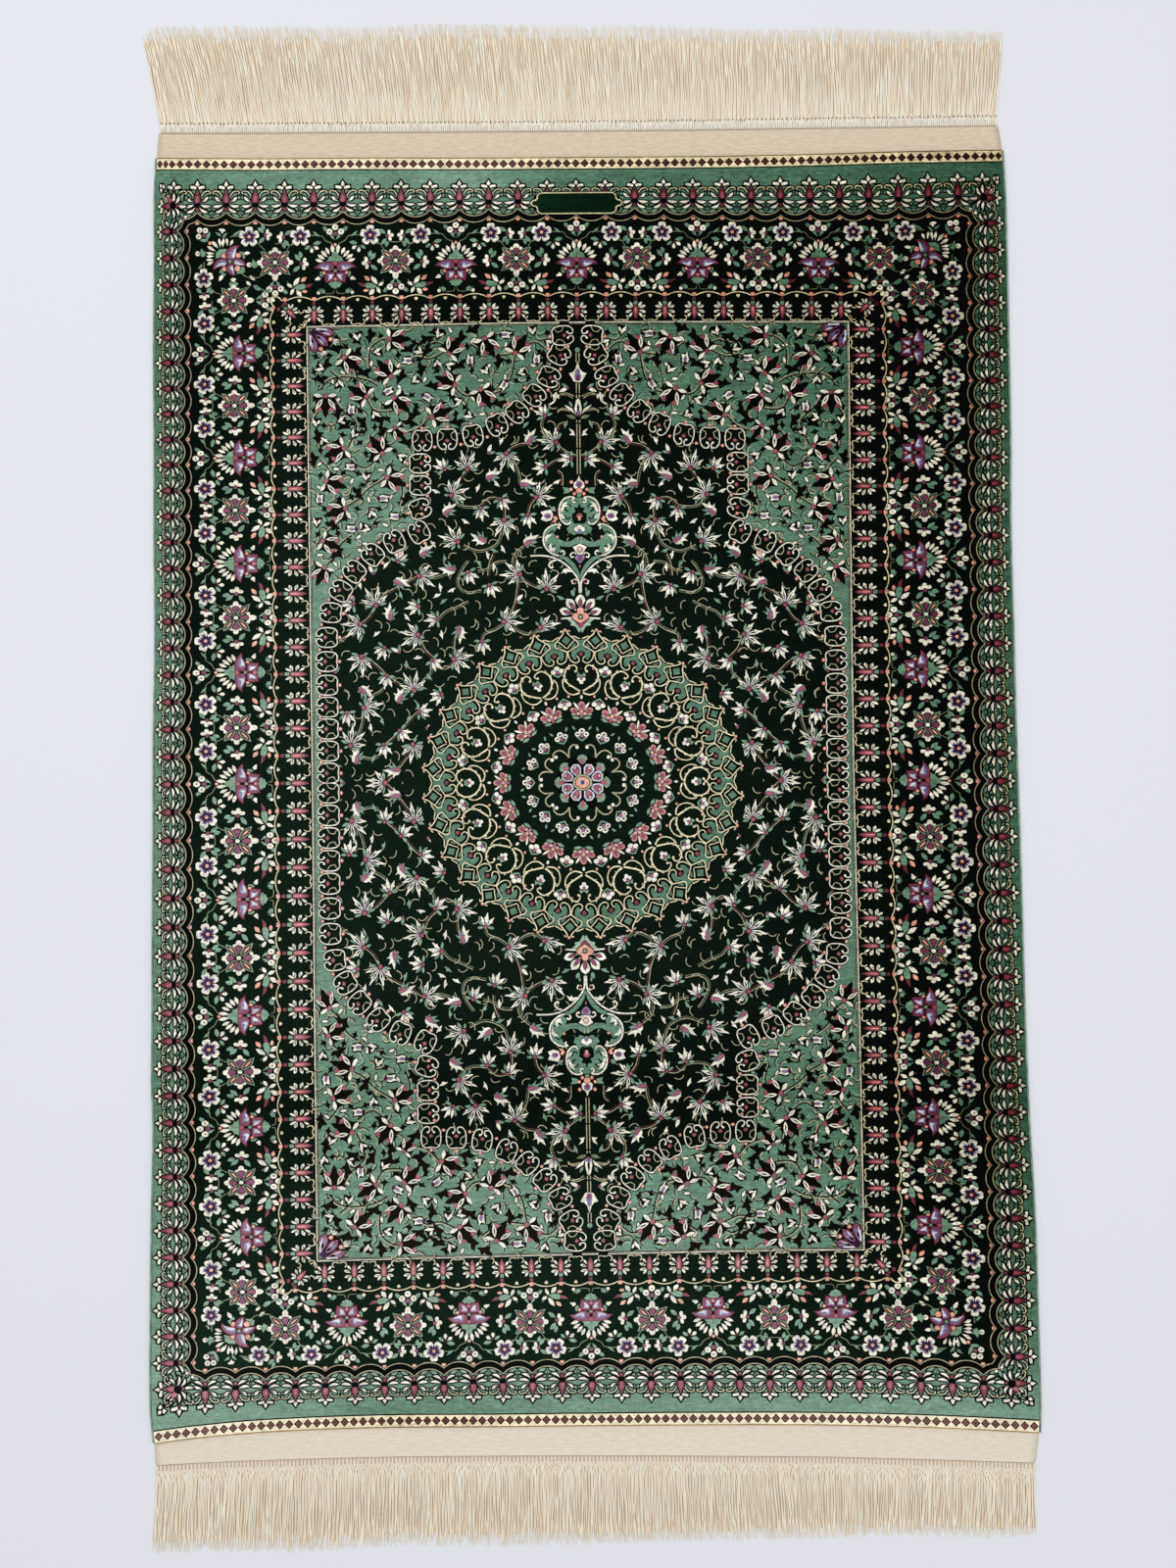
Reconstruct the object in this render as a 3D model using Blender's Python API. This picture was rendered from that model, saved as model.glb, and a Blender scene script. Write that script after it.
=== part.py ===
"""A fine silk Persian rug, lying flat: pile, overcast sides, flat-woven ends and fringes.

Metres, +Z up. The rug lies on z = 0 with the middle of its bounding box at the origin.
X runs across the rug and Y along it, towards the end called the top.
Every solid is worked out from the short tables of measured stations below, because a
hand-knotted rug is a little uneven: its sides wander and its ends bow.
"""

import math
from collections import namedtuple

import bmesh
import bpy

MM = 0.001

# ---- driving dimensions ------------------------------------------------------------
PILE_THICKNESS = 4.0 * MM
WEB_THICKNESS = 1.6 * MM
OVERCAST_WIDTH = 2.6 * MM
OVERCAST_HEIGHT = 3.4 * MM
STRAND_HEIGHT = 1.6 * MM
STRAND_TIP_HEIGHT = 1.0 * MM
PIECE_GAP = 0.3 * MM
PILE_EDGE_ROUNDING = 0.8 * MM
WEB_EDGE_ROUNDING = 0.4 * MM

STRANDS_PER_END = 110
STRAND_SHARE_OF_PITCH = 0.72        # the rest of the pitch is the gap to the next strand
STRAND_TIP_NARROWING = 0.8
STRAND_STEPS = 3
STRAND_SWAY = 2.2 * MM

SIDE_STEPS = 40                     # points along a long side
END_STEPS = 30                      # points along an end

# The stations are read about the rug's woven centre; the bounding box, which the
# splayed corner of the top fringe pulls to one side, is centred this far from it.
BOX_CENTRE_X = -8.16 * MM
BOX_CENTRE_Y = 16.71 * MM

# ---- measured stations, in millimetres from the woven centre -----------------------
Side = namedtuple("Side", "along left right")
SIDES = (
    Side(590, -403.2, 396.4),
    Side(550, -404.6, 397.4),
    Side(500, -404.2, 397.6),
    Side(420, -405.0, 397.0),
    Side(320, -404.3, 396.2),
    Side(230, -404.2, 393.9),
    Side(140, -403.2, 394.0),
    Side(50, -404.5, 393.9),
    Side(-45, -404.6, 394.4),
    Side(-135, -405.2, 394.7),
    Side(-225, -405.3, 394.9),
    Side(-270, -405.7, 395.4),
    Side(-310, -404.2, 396.0),
    Side(-400, -405.7, 398.8),
    Side(-490, -406.4, 399.1),
    Side(-560, -406.2, 399.2),
    Side(-591, -403.4, 398.0),
)

End = namedtuple("End", "across pile_top web_top root_top pile_bottom web_bottom root_bottom")
ENDS = (
    End(-406, 592.6, 617.4, 625.4, -591.2, -611.4, -618.6),
    End(-360, 591.8, 616.8, 624.8, -586.2, -609.4, -616.8),
    End(-300, 590.8, 616.2, 624.2, -581.8, -607.8, -615.2),
    End(-200, 590.2, 615.5, 623.4, -579.2, -606.4, -613.8),
    End(-100, 588.8, 614.8, 622.6, -579.8, -606.6, -613.8),
    End(0, 588.2, 614.2, 621.8, -580.0, -607.6, -614.6),
    End(100, 587.6, 613.8, 621.4, -580.6, -609.2, -616.4),
    End(200, 588.0, 614.0, 621.8, -582.0, -611.2, -618.4),
    End(300, 589.6, 614.1, 622.0, -585.6, -615.0, -622.2),
    End(400, 590.0, 614.1, 622.2, -591.6, -619.3, -626.6),
)

# half-way points and tips of the fringe, by the share of the way from left to right
Fringe = namedtuple("Fringe", "share tip_across tip_along")
TOP_FRINGE = (
    Fringe(0.00, -416.2, 716.0),
    Fringe(0.03, -398.0, 722.0),
    Fringe(0.13, -312.0, 720.8),
    Fringe(0.25, -214.0, 719.6),
    Fringe(0.36, -123.6, 721.2),
    Fringe(0.48, -30.8, 718.1),
    Fringe(0.59, 62.0, 716.8),
    Fringe(0.70, 154.0, 711.8),
    Fringe(0.82, 247.6, 711.5),
    Fringe(0.93, 340.3, 708.3),
    Fringe(1.00, 399.6, 706.1),
)
BOTTOM_FRINGE = (
    Fringe(0.00, -404.6, -688.6),
    Fringe(0.06, -355.8, -687.4),
    Fringe(0.17, -267.7, -688.9),
    Fringe(0.28, -179.4, -684.8),
    Fringe(0.39, -91.3, -686.0),
    Fringe(0.50, -3.1, -685.4),
    Fringe(0.61, 85.1, -683.9),
    Fringe(0.72, 173.4, -683.3),
    Fringe(0.84, 261.6, -681.8),
    Fringe(0.95, 349.7, -684.7),
    Fringe(1.00, 391.0, -683.5),
)

# the flat-woven webs and the rows of bare warps draw in from the pile's corners
WEB_INSET = {"top": (3.4, 4.6), "bottom": (4.4, 5.6)}       # left, right


def reading(table, key, column, at):
    """A smooth reading between a table's stations, with even slopes through each."""
    rows = sorted(table, key=lambda row: getattr(row, key))
    places = [getattr(row, key) for row in rows]
    values = [getattr(row, column) for row in rows]
    last = len(rows) - 1
    at = min(max(at, places[0]), places[last])
    low = max(i for i in range(last) if places[i] <= at)
    high = low + 1

    def slope(i):
        before, after = max(i - 1, 0), min(i + 1, last)
        return (values[after] - values[before]) / (places[after] - places[before])

    span = places[high] - places[low]
    t = (at - places[low]) / span
    ease = t * t * (3.0 - 2.0 * t)
    return (values[low] * (1.0 - ease) + values[high] * ease
            + span * slope(low) * t * (1.0 - t) ** 2
            - span * slope(high) * t * t * (1.0 - t))


def side_at(along, side):
    return reading(SIDES, "along", side, along)


def end_at(across, column):
    return reading(ENDS, "across", column, across)


def placed(across, along):
    """A point of the plan, from millimetres at the woven centre to the shared frame."""
    return (across * MM - BOX_CENTRE_X, along * MM - BOX_CENTRE_Y)


def steps(start, stop, count):
    return [start + (stop - start) * i / count for i in range(count + 1)]


def yarn_material(name, colour, roughness):
    material = bpy.data.materials.new(name)
    material.use_nodes = True
    shader = material.node_tree.nodes["Principled BSDF"]
    shader.inputs["Base Color"].default_value = (*colour, 1.0)
    shader.inputs["Roughness"].default_value = roughness
    shader.inputs["Metallic"].default_value = 0.0
    material.diffuse_color = (*colour, 1.0)
    return material


def finish(name, bm, material):
    bmesh.ops.recalc_face_normals(bm, faces=bm.faces)
    mesh = bpy.data.meshes.new(name)
    bm.to_mesh(mesh)
    bm.free()
    mesh.materials.append(material)
    piece = bpy.data.objects.new(name, mesh)
    bpy.context.scene.collection.objects.link(piece)
    return piece


def slab(name, outline, thickness, rounding, material):
    """A flat cloth from its outline: extruded, with its upper rim rounded."""
    bm = bmesh.new()
    face = bm.faces.new([bm.verts.new((x, y, 0.0)) for x, y in outline])
    grown = bmesh.ops.extrude_face_region(bm, geom=[face])
    top = [item for item in grown["geom"] if isinstance(item, bmesh.types.BMVert)]
    bmesh.ops.translate(bm, verts=top, vec=(0.0, 0.0, thickness))
    if rounding:
        high = set(top)
        rim = [edge for edge in bm.edges if edge.verts[0] in high and edge.verts[1] in high]
        bmesh.ops.bevel(bm, geom=rim, offset=rounding, offset_type="OFFSET", segments=2,
                        profile=0.5, affect="EDGES")
    return finish(name, bm, material)


def pile(material):
    """The knotted body, inside the overcast sides."""
    inset = (OVERCAST_WIDTH + PIECE_GAP) / MM
    top_left = side_at(590, "left") + inset
    top_right = side_at(590, "right") - inset
    bottom_left = side_at(-591, "left") + inset
    bottom_right = side_at(-591, "right") - inset
    outline = [(x, end_at(x, "pile_top")) for x in steps(top_left, top_right, END_STEPS)]
    right_stops = steps(end_at(top_right, "pile_top"), end_at(bottom_right, "pile_bottom"), SIDE_STEPS)
    outline += [(side_at(y, "right") - inset, y) for y in right_stops[1:]]
    outline += [(x, end_at(x, "pile_bottom"))
                for x in steps(bottom_right, bottom_left, END_STEPS)[1:]]
    left_stops = steps(end_at(bottom_left, "pile_bottom"), end_at(top_left, "pile_top"), SIDE_STEPS)
    outline += [(side_at(y, "left") + inset, y) for y in left_stops[1:-1]]
    plan = [placed(x, y) for x, y in outline]
    return slab("pile", plan, PILE_THICKNESS, PILE_EDGE_ROUNDING, material)


def overcast(side, material):
    """A silk-wrapped selvedge: an eight-sided cord that follows the side's wander."""
    sign = {"left": -1, "right": 1}[side]
    half_width = OVERCAST_WIDTH / 2
    half_height = OVERCAST_HEIGHT / 2
    width = OVERCAST_WIDTH / MM
    top = min(end_at(side_at(590, side) - sign * x, "pile_top") for x in (0, width))
    bottom = max(end_at(side_at(-591, side) - sign * x, "pile_bottom") for x in (0, width))
    bm = bmesh.new()
    rings = []
    for along in steps(bottom, top, SIDE_STEPS):
        x, y = placed(side_at(along, side), along)
        x -= sign * half_width
        ring = []
        for corner in range(8):
            angle = math.radians(22.5 + 45.0 * corner)
            reach = 1.0 / math.cos(math.radians(22.5))
            ring.append(bm.verts.new((x + half_width * reach * math.cos(angle), y,
                                      half_height + half_height * reach * math.sin(angle))))
        rings.append(ring)
    for near, far in zip(rings, rings[1:]):
        for corner in range(8):
            after = (corner + 1) % 8
            bm.faces.new((near[corner], near[after], far[after], far[corner]))
    bm.faces.new(rings[0])
    bm.faces.new(rings[-1])
    piece = finish("overcast_" + side, bm, material)
    piece.data.shade_smooth()
    piece.data.set_sharp_from_angle(angle=math.radians(50.0))
    return piece


def web(end, material):
    """A flat-woven end, between the pile and the bare warps."""
    outward = {"top": 1, "bottom": -1}[end]
    gap = PIECE_GAP / MM * outward
    left_inset, right_inset = WEB_INSET[end]
    corner = 590 if end == "top" else -591
    inner_left = side_at(corner, "left") + 1.4
    inner_right = side_at(corner, "right") - 1.4
    outer_left = side_at(corner, "left") + left_inset
    outer_right = side_at(corner, "right") - right_inset
    inner = [(x, end_at(x, "pile_" + end) + gap) for x in steps(inner_left, inner_right, END_STEPS)]
    outer = [(x, end_at(x, "web_" + end)) for x in steps(outer_left, outer_right, END_STEPS)]
    plan = [placed(x, y) for x, y in inner + outer[::-1]]
    return slab("kelim_" + end, plan, WEB_THICKNESS, WEB_EDGE_ROUNDING, material)


def fringe(end, table, material):
    """The warp ends: strands that grow out of a narrow strip of bare warps.

    The strip's outer wall is a row of root and gap panels; each root panel is extruded
    into a four-sided strand that lies level on the ground and leans with its neighbours.
    """
    outward = {"top": 1, "bottom": -1}[end]
    gap = PIECE_GAP / MM * outward
    left_inset, right_inset = WEB_INSET[end]
    corner = 590 if end == "top" else -591
    left = side_at(corner, "left") + left_inset
    right = side_at(corner, "right") - right_inset
    pitch = (right - left) / STRANDS_PER_END
    stops = []
    for strand in range(STRANDS_PER_END):
        start = left + strand * pitch
        margin = pitch * (1.0 - STRAND_SHARE_OF_PITCH) / 2
        stops += [start + margin, start + pitch - margin]
    stops = [left] + stops + [right]

    bm = bmesh.new()

    def wall(column, offset):
        low, high = [], []
        for x in stops:
            px, py = placed(x, end_at(x, column) + offset)
            low.append(bm.verts.new((px, py, 0.0)))
            high.append(bm.verts.new((px, py, STRAND_HEIGHT)))
        return low, high

    back_low, back_high = wall("web_" + end, gap)
    front_low, front_high = wall("root_" + end, 0.0)
    roots = []
    for i in range(len(stops) - 1):
        bm.faces.new((back_low[i], back_low[i + 1], front_low[i + 1], front_low[i]))
        bm.faces.new((back_high[i], front_high[i], front_high[i + 1], back_high[i + 1]))
        bm.faces.new((back_low[i], back_high[i], back_high[i + 1], back_low[i + 1]))
        front = bm.faces.new((front_low[i], front_low[i + 1], front_high[i + 1], front_high[i]))
        if i % 2 == 1:
            roots.append(front)
    bm.faces.new((back_low[0], front_low[0], front_high[0], back_high[0]))
    bm.faces.new((back_low[-1], back_high[-1], front_high[-1], front_low[-1]))

    for strand, root in enumerate(roots):
        share = (strand + 0.5) / STRANDS_PER_END
        centre = root.calc_center_median()
        tip_x, tip_y = placed(reading(table, "share", "tip_across", share),
                              reading(table, "share", "tip_along", share))
        root_half = pitch * MM * STRAND_SHARE_OF_PITCH / 2
        section = [(vert, 1 if vert.co.x > centre.x else -1, vert.co.z > STRAND_HEIGHT / 2)
                   for vert in root.verts]
        for step in range(1, STRAND_STEPS + 1):
            t = step / STRAND_STEPS
            sway = STRAND_SWAY * math.sin(math.pi * t) * math.sin(2.4 * strand)
            x = centre.x + (tip_x - centre.x) * t ** 1.15 + sway * 0.4
            y = centre.y + (tip_y - centre.y) * t
            half = root_half * (1.0 - (1.0 - STRAND_TIP_NARROWING) * t)
            height = STRAND_HEIGHT + (STRAND_TIP_HEIGHT - STRAND_HEIGHT) * t
            next_section = [(bm.verts.new((x + sign * half, y, height if high else 0.0)), sign, high)
                            for vert, sign, high in section]
            for i in range(4):
                a, b = section[i][0], section[(i + 1) % 4][0]
                c, d = next_section[(i + 1) % 4][0], next_section[i][0]
                bm.faces.new((a, b, c, d))
            section = next_section
        bm.faces.new([vert for vert, sign, high in section])
        bm.faces.remove(root)
    return finish("fringe_" + end, bm, material)


def build():
    for old in list(bpy.data.objects):
        bpy.data.objects.remove(old, do_unlink=True)
    green_pile = yarn_material("deep green silk pile", (0.016, 0.045, 0.032), 0.55)
    green_cord = yarn_material("sea green silk", (0.16, 0.29, 0.22), 0.5)
    web_yarn = yarn_material("undyed web", (0.64, 0.53, 0.40), 0.8)
    fringe_yarn = yarn_material("undyed fringe", (0.72, 0.61, 0.46), 0.7)
    pile(green_pile)
    overcast("left", green_cord)
    overcast("right", green_cord)
    web("top", web_yarn)
    web("bottom", web_yarn)
    fringe("top", TOP_FRINGE, fringe_yarn)
    fringe("bottom", BOTTOM_FRINGE, fringe_yarn)


build()
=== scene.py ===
import bpy
import bmesh
import cmath
import math
import random
import numpy as np
from mathutils import Matrix, Vector
from mathutils.bvhtree import BVHTree
from mathutils.geometry import delaunay_2d_cdt


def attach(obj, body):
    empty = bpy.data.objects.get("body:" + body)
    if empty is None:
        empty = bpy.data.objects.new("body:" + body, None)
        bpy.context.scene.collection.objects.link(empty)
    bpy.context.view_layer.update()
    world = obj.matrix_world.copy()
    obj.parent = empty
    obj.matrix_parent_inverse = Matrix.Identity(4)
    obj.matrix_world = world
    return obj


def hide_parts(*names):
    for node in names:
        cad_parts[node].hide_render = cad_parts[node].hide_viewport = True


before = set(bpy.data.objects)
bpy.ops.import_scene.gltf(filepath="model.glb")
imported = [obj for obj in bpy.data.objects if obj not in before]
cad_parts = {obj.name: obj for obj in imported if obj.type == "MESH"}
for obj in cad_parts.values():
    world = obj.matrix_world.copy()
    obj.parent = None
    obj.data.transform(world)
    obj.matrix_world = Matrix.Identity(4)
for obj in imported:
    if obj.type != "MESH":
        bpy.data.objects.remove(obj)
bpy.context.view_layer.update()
scene = bpy.context.scene
mm = 0.001
print("frame loaded")

# ---- drawing kit: the chart is drawn on the complex plane, in millimetres, one quarter at a time

laid = []  # (yarn, outline), from the ground up


def turned(degrees):
    return cmath.rect(1, math.radians(degrees))


def spot(at=0, heading=0, size=1, across=1, flip=False):  # local +x runs along the heading
    turn = turned(heading) * size
    side = -across if flip else across
    return lambda z: at + turn * complex(z.real, z.imag * side)


def smooth(knots, steps=5, closed=False):  # a curve through the knots
    count = len(knots)
    spans = count if closed else count - 1
    points = []
    for i in range(spans):
        if closed:
            a, b, c, d = (knots[(i + k) % count] for k in (-1, 0, 1, 2))
        else:
            b, c = knots[i], knots[i + 1]
            a = knots[i - 1] if i else 2 * b - c
            d = knots[i + 2] if i + 2 < count else 2 * c - b
        for k in range(steps):
            t = k / steps
            points.append(b + 0.5 * t * (c - a + t * (2 * a - 5 * b + 4 * c - d + t * (3 * (b - c) + d - a))))
    if not closed:
        points.append(knots[-1])
    return points


def ribbon(path, width, tail=None):  # a line of yarn, which may narrow towards its end
    tail = width if tail is None else tail
    left, right = [], []
    last = len(path) - 1
    for i, z in enumerate(path):
        run = path[min(i + 1, last)] - path[max(i - 1, 0)]
        if i and i < last:
            one, two = z - path[i - 1], path[i + 1] - z
            run = one / (abs(one) or 1) + two / (abs(two) or 1)
        normal = 1j * run / (abs(run) or 1)
        half = (width + (tail - width) * i / last) / 2
        left.append(z + normal * half)
        right.append(z - normal * half)
    return left + right[::-1]


def area(outline):
    return sum((a.conjugate() * b).imag for a, b in zip(outline, outline[1:] + outline[:1])) / 2


def grown(outline, by):  # the outline of the darker yarn that goes round a motif
    if area(outline) < 0:
        outline = outline[::-1]
    count = len(outline)
    grownOutline = []
    for i, z in enumerate(outline):
        one = z - outline[i - 1]
        two = outline[(i + 1) % count] - z
        one = one / (abs(one) or 1)
        two = two / (abs(two) or 1)
        bisector = one + two
        if abs(bisector) < 0.35:  # a sharp tip gets two corners
            grownOutline.append(z + by * (one - 1j * one))
            grownOutline.append(z + by * (-two - 1j * two))
            continue
        normal = -1j * bisector / abs(bisector)
        stretch = min(1 / max((normal / (-1j * one)).real, 0.3), 1.7)
        grownOutline.append(z + normal * by * stretch)
    return grownOutline


def lay(yarn, outline, edge=None, by=0.8):
    if edge:
        laid.append((edge, grown(outline, by)))
    laid.append((yarn, outline))


def leaf(length, width, belly=0.4, bend=0.0, start=0.0, steps=5):  # from its stalk to its tip, along +x
    upper, lower = [], []
    for k in range(1, steps):
        t = k / steps
        swell = math.sin(math.pi * t ** (math.log(0.5) / math.log(belly))) * width / 2
        middle = complex(start + length * t, bend * length * t * (1 - t) * 4 * 0.25)
        upper.append(middle + 1j * swell)
        lower.append(middle - 1j * swell)
    return [complex(start, 0)] + lower + [complex(start + length, 0)] + upper[::-1]


def disc(radius, at=0, sides=8, squash=1.0, phase=0.5):
    return [at + complex(radius * math.cos(2 * math.pi * (k + phase) / sides),
                         radius * squash * math.sin(2 * math.pi * (k + phase) / sides)) for k in range(sides)]


def box(x0, x1, y0, y1):
    return [complex(x0, y0), complex(x1, y0), complex(x1, y1), complex(x0, y1)]


def moved(place, outline):
    return [place(z) for z in outline]


yarns = {
    "ink": (10, 12, 8), "night": (14, 30, 20), "moss": (24, 19, 14), "bark": (44, 26, 22), "sea": (122, 154, 134),
    "mist": (170, 192, 174), "leaf": (142, 172, 151), "olive": (140, 148, 122), "stone": (196, 190, 162),
    "straw": (240, 230, 196), "ivory": (247, 243, 227), "cream": (250, 238, 206), "reed": (104, 138, 118),
    "fir": (22, 62, 42), "milk": (226, 228, 232), "lilac": (150, 140, 174), "mauve": (148, 96, 116),
    "plum": (70, 46, 80), "rose": (182, 116, 126), "brick": (142, 84, 94), "claret": (100, 42, 50),
    "peach": (242, 188, 168), "cocoa": (124, 84, 80), "ochre": (150, 118, 52), "blue": (58, 88, 158),
}

rug = {"halfWidth": 400.0, "halfLength": 588.5, "strip": 577.4}
cuspOne = {"u": 373.0, "v": 538.0, "pitchU": 27.2, "pitchV": 24.8, "dip": 6.3, "lower": 7.0, "lowerDip": 5.4}
fieldEdge = {"u": 250.0, "v": 427.6}
bead = {"u": 284.5, "v": 456.0}
sideSize = cuspOne["pitchV"] / cuspOne["pitchU"]


def twice(place, yarn, outline, edge=None, by=0.8):  # a shape and its mirror image across the motif
    lay(yarn, moved(place, outline), edge, by)
    lay(yarn, moved(place, [z.conjugate() for z in outline]), edge, by)


def once(place, yarn, outline, edge=None, by=0.8):
    lay(yarn, moved(place, outline), edge, by)


def scallopLine(lower, dip, corner):
    points = []
    perHalf = 5
    count = 13
    for k in range(count + 1):
        for i in range(-perHalf, perHalf):
            s = k + i / (2 * perHalf)
            if s < 0:
                continue
            if k == count and i > (perHalf - 1 if lower == 0 else 1):
                continue
            sag = 1 - abs(1 - 2 * abs(s - round(s))) ** 2.2
            points.append(complex(-s * cuspOne["pitchU"], cuspOne["v"] - lower - dip * sag))
    points += corner
    count = 21
    side = []
    for k in range(count + 1):
        for i in range(-perHalf, perHalf):
            s = k + i / (2 * perHalf)
            if s < 0:
                continue
            if k == count and i > (perHalf - 1 if lower == 0 else 1):
                continue
            sag = 1 - abs(1 - 2 * abs(s - round(s))) ** 2.2
            side.append(complex(-cuspOne["u"] + lower + dip * sag, s * cuspOne["pitchV"]))
    return points + side[::-1]


def endStrip():
    lay("cream", box(-rug["halfWidth"], 0, rug["strip"], rug["halfLength"]))
    lay("ink", box(-rug["halfWidth"], 0, rug["strip"] - 1.0, rug["strip"] + 0.2))
    lay("ochre", box(-rug["halfWidth"], 0, rug["halfLength"] - 0.9, rug["halfLength"]))
    pitch = 8.42
    for k in range(48):
        place = spot(complex(-pitch * k, 582.5))
        once(place, "bark", [4.1, 4.1j, -4.1, -4.1j])
        once(place, "cocoa", [2.7, 2.7j, -2.7, -2.7j])
        once(place, "bark", [0.9, 0.9j, -0.9, -0.9j])


def sickle(length, width, bend):  # a petal that curves towards its tip
    return leaf(length, width, 0.6, bend=bend)


def guardBud(place):
    twice(place, "leaf", moved(spot(-1.6 + 5.6j, 112), leaf(7.6, 3.0, 0.5)), "ink", 1.2)
    twice(place, "leaf", moved(spot(14.2 + 9.4j, 96), leaf(4.4, 3.4, 0.5)), "ink", 1.2)
    once(place, "ink", [17.6 + 0.8j, 20.2 + 2.4j, 21.0 + 8.4j, 25.4 + 8.0j, 26.2 + 3.6j, 31.2, 26.2 - 3.6j,
                        25.4 - 8.0j, 21.0 - 8.4j,
                        20.2 - 2.4j, 17.6 - 0.8j])
    twice(place, "ivory", [20.8 + 0.7j, 21.6 + 3.6j, 22.2 + 6.8j, 24.4 + 6.6j, 24.2 + 3.6j, 23.4 + 1.2j])
    once(place, "ivory", [23.8 + 0.4j, 25.2 + 1.9j, 29.0, 25.2 - 1.9j, 23.8 - 0.4j])
    for width, yarn in ((3.8, "ink"), (0.9, "straw")):
        twice(place, yarn, ribbon([15.2 + 3.8j, 19.0 + 6.6j, 19.9 + 10.6j, 18.6 + 12.6j, 17.2 + 11.8j], width))
    for hold, turnBy, length, width, bend in ((10.6 + 2.8j, 62, 8.8, 2.7, 0.5), (8.0 + 2.2j, 100, 10.8, 2.6, 0.5),
                                              (5.0 + 2.0j, 120, 9.4, 2.5, 0.6)):
        twice(place, "ivory", moved(spot(hold, turnBy), sickle(length, width, bend)), "ink", 1.3)
    twice(place, "ink", moved(spot(10.6 + 2.8j, 62), sickle(5.4, 1.0, 0.5)))
    twice(place, "lilac", moved(spot(7.6 + 2.4j, 100), leaf(3.0, 1.3)))
    once(place, "brick", [9.0 + 2.0j, 11.0 + 3.0j, 14.0 + 2.9j, 17.0 + 1.6j, 21.4 + 0.3j, 21.4 - 0.3j, 17.0 - 1.6j, 14.0 - 2.9j,
                          11.0 - 3.0j, 9.0 - 2.0j], "ink", 1.1)
    once(place, "rose", [9.6 + 1.0j, 11.4 + 1.5j, 14.0 + 1.1j, 15.8, 14.0 - 1.1j, 11.4 - 1.5j, 9.6 - 1.0j])
    once(place, "brick", disc(1.8, 2.8, 8), "ink", 1.0)
    once(place, "ink", moved(lambda z: complex(z.real * 0.55, z.imag) + 6.8, disc(3.6, 0, 8)))


def guardDrop(place):  # the ivory bead over each hollow of the scalloped line
    twice(place, "leaf", moved(spot(1.6 + 1.2j, 38), leaf(6.4, 2.8, 0.5)), "ink", 1.1)
    once(place, "ink", [-6.0 + 2.0j, -4.0 + 2.2j, -2.2 + 0.4j, 0.6, -2.2 - 0.4j, -4.0 - 2.2j, -6.0 - 2.0j])
    once(place, "ivory", [-5.8 + 1.3j, -4.4 + 1.4j, -2.6, -4.4 - 1.4j, -5.8 - 1.3j])


def outerGuard():
    for k in range(14):
        guardDrop(spot(complex(-(k + 0.5) * cuspOne["pitchU"], cuspOne["v"]), 90))
        guardBud(spot(complex(-k * cuspOne["pitchU"], cuspOne["v"]), 90))
    for k in range(22):
        if k < 21:
            guardDrop(spot(complex(-cuspOne["u"], (k + 0.5) * cuspOne["pitchV"]), 180, sideSize))
        guardBud(spot(complex(-cuspOne["u"], k * cuspOne["pitchV"]), 180, sideSize))
    guardDrop(spot(-cuspOne["u"] + 533.5j, 180, sideSize))
    # the corner: three buds on one dark heart
    for at, heading, size in ((-376.5 + 538j, 90, 1.0), (-371 + 544.5j, 180, 0.92)):
        guardBud(spot(at, heading, size))
    once(spot(-376.5 + 545.5j, 135, 0.8), "rose", [2 + 2j, 8 + 2.4j, 12, 8 - 2.4j, 2 - 2j], "bark", 0.7)
    once(spot(-377.5 + 545j, 135), "ink", disc(3.8, 0, 8))
    corner = spot(-392 + 561j, 135)
    once(corner, "ink", [-6.5 + 0.5j, -3.5 + 1.2j, -4.2 + 5.2j, 1.5 + 4.6j, 5.6, 1.5 - 4.6j, -4.2 - 5.2j,
                         -3.5 - 1.2j, -6.5 - 0.5j])
    twice(corner, "ivory", [-2.4 + 0.8j, -2.8 + 3.8j, 0.6 + 3.2j, -0.4 + 1.0j])
    once(corner, "ivory", [0.6 + 0.6j, 1.6 + 1.6j, 4.0, 1.6 - 1.6j, 0.6 - 0.6j])


def scallopedLines():
    outer = scallopLine(0, cuspOne["dip"], [-367.6 + 531.9j, -366.9 + 531.6j])
    inner = scallopLine(cuspOne["lower"], cuspOne["lowerDip"], [-361.6 + 527.2j, -363.6 + 524.4j])
    lay("night", outer + [0j])
    lay("ink", outer + inner[::-1])
    lay("ink", ribbon(outer, 2.6))
    lay("stone", ribbon(outer, 0.85))
    lay("ivory", disc(1.5, -364.8 + 534j, 6), "bark", 0.5)
    lay("ivory", disc(1.5, -369.6 + 530.4j, 6), "bark", 0.5)
    lay("stone", ribbon(inner, 0.75), "ink", 0.7)
    for k in range(14):
        place = spot(complex(-k * cuspOne["pitchU"], cuspOne["v"] - cuspOne["lower"]), -90)
        once(place, "peach", [1.6 + 0.5j, 2.6 + 1.8j, 4.2 + 1.6j, 4.2 - 1.6j, 2.6 - 1.8j, 1.6 - 0.5j], "claret", 0.4)
    for k in range(22):
        place = spot(complex(-cuspOne["u"] + cuspOne["lower"], k * cuspOne["pitchV"]), 0, sideSize)
        once(place, "peach", [1.6 + 0.5j, 2.6 + 1.8j, 4.2 + 1.6j, 4.2 - 1.6j, 2.6 - 1.8j, 1.6 - 0.5j], "claret", 0.4)


# ---- the main border


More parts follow.
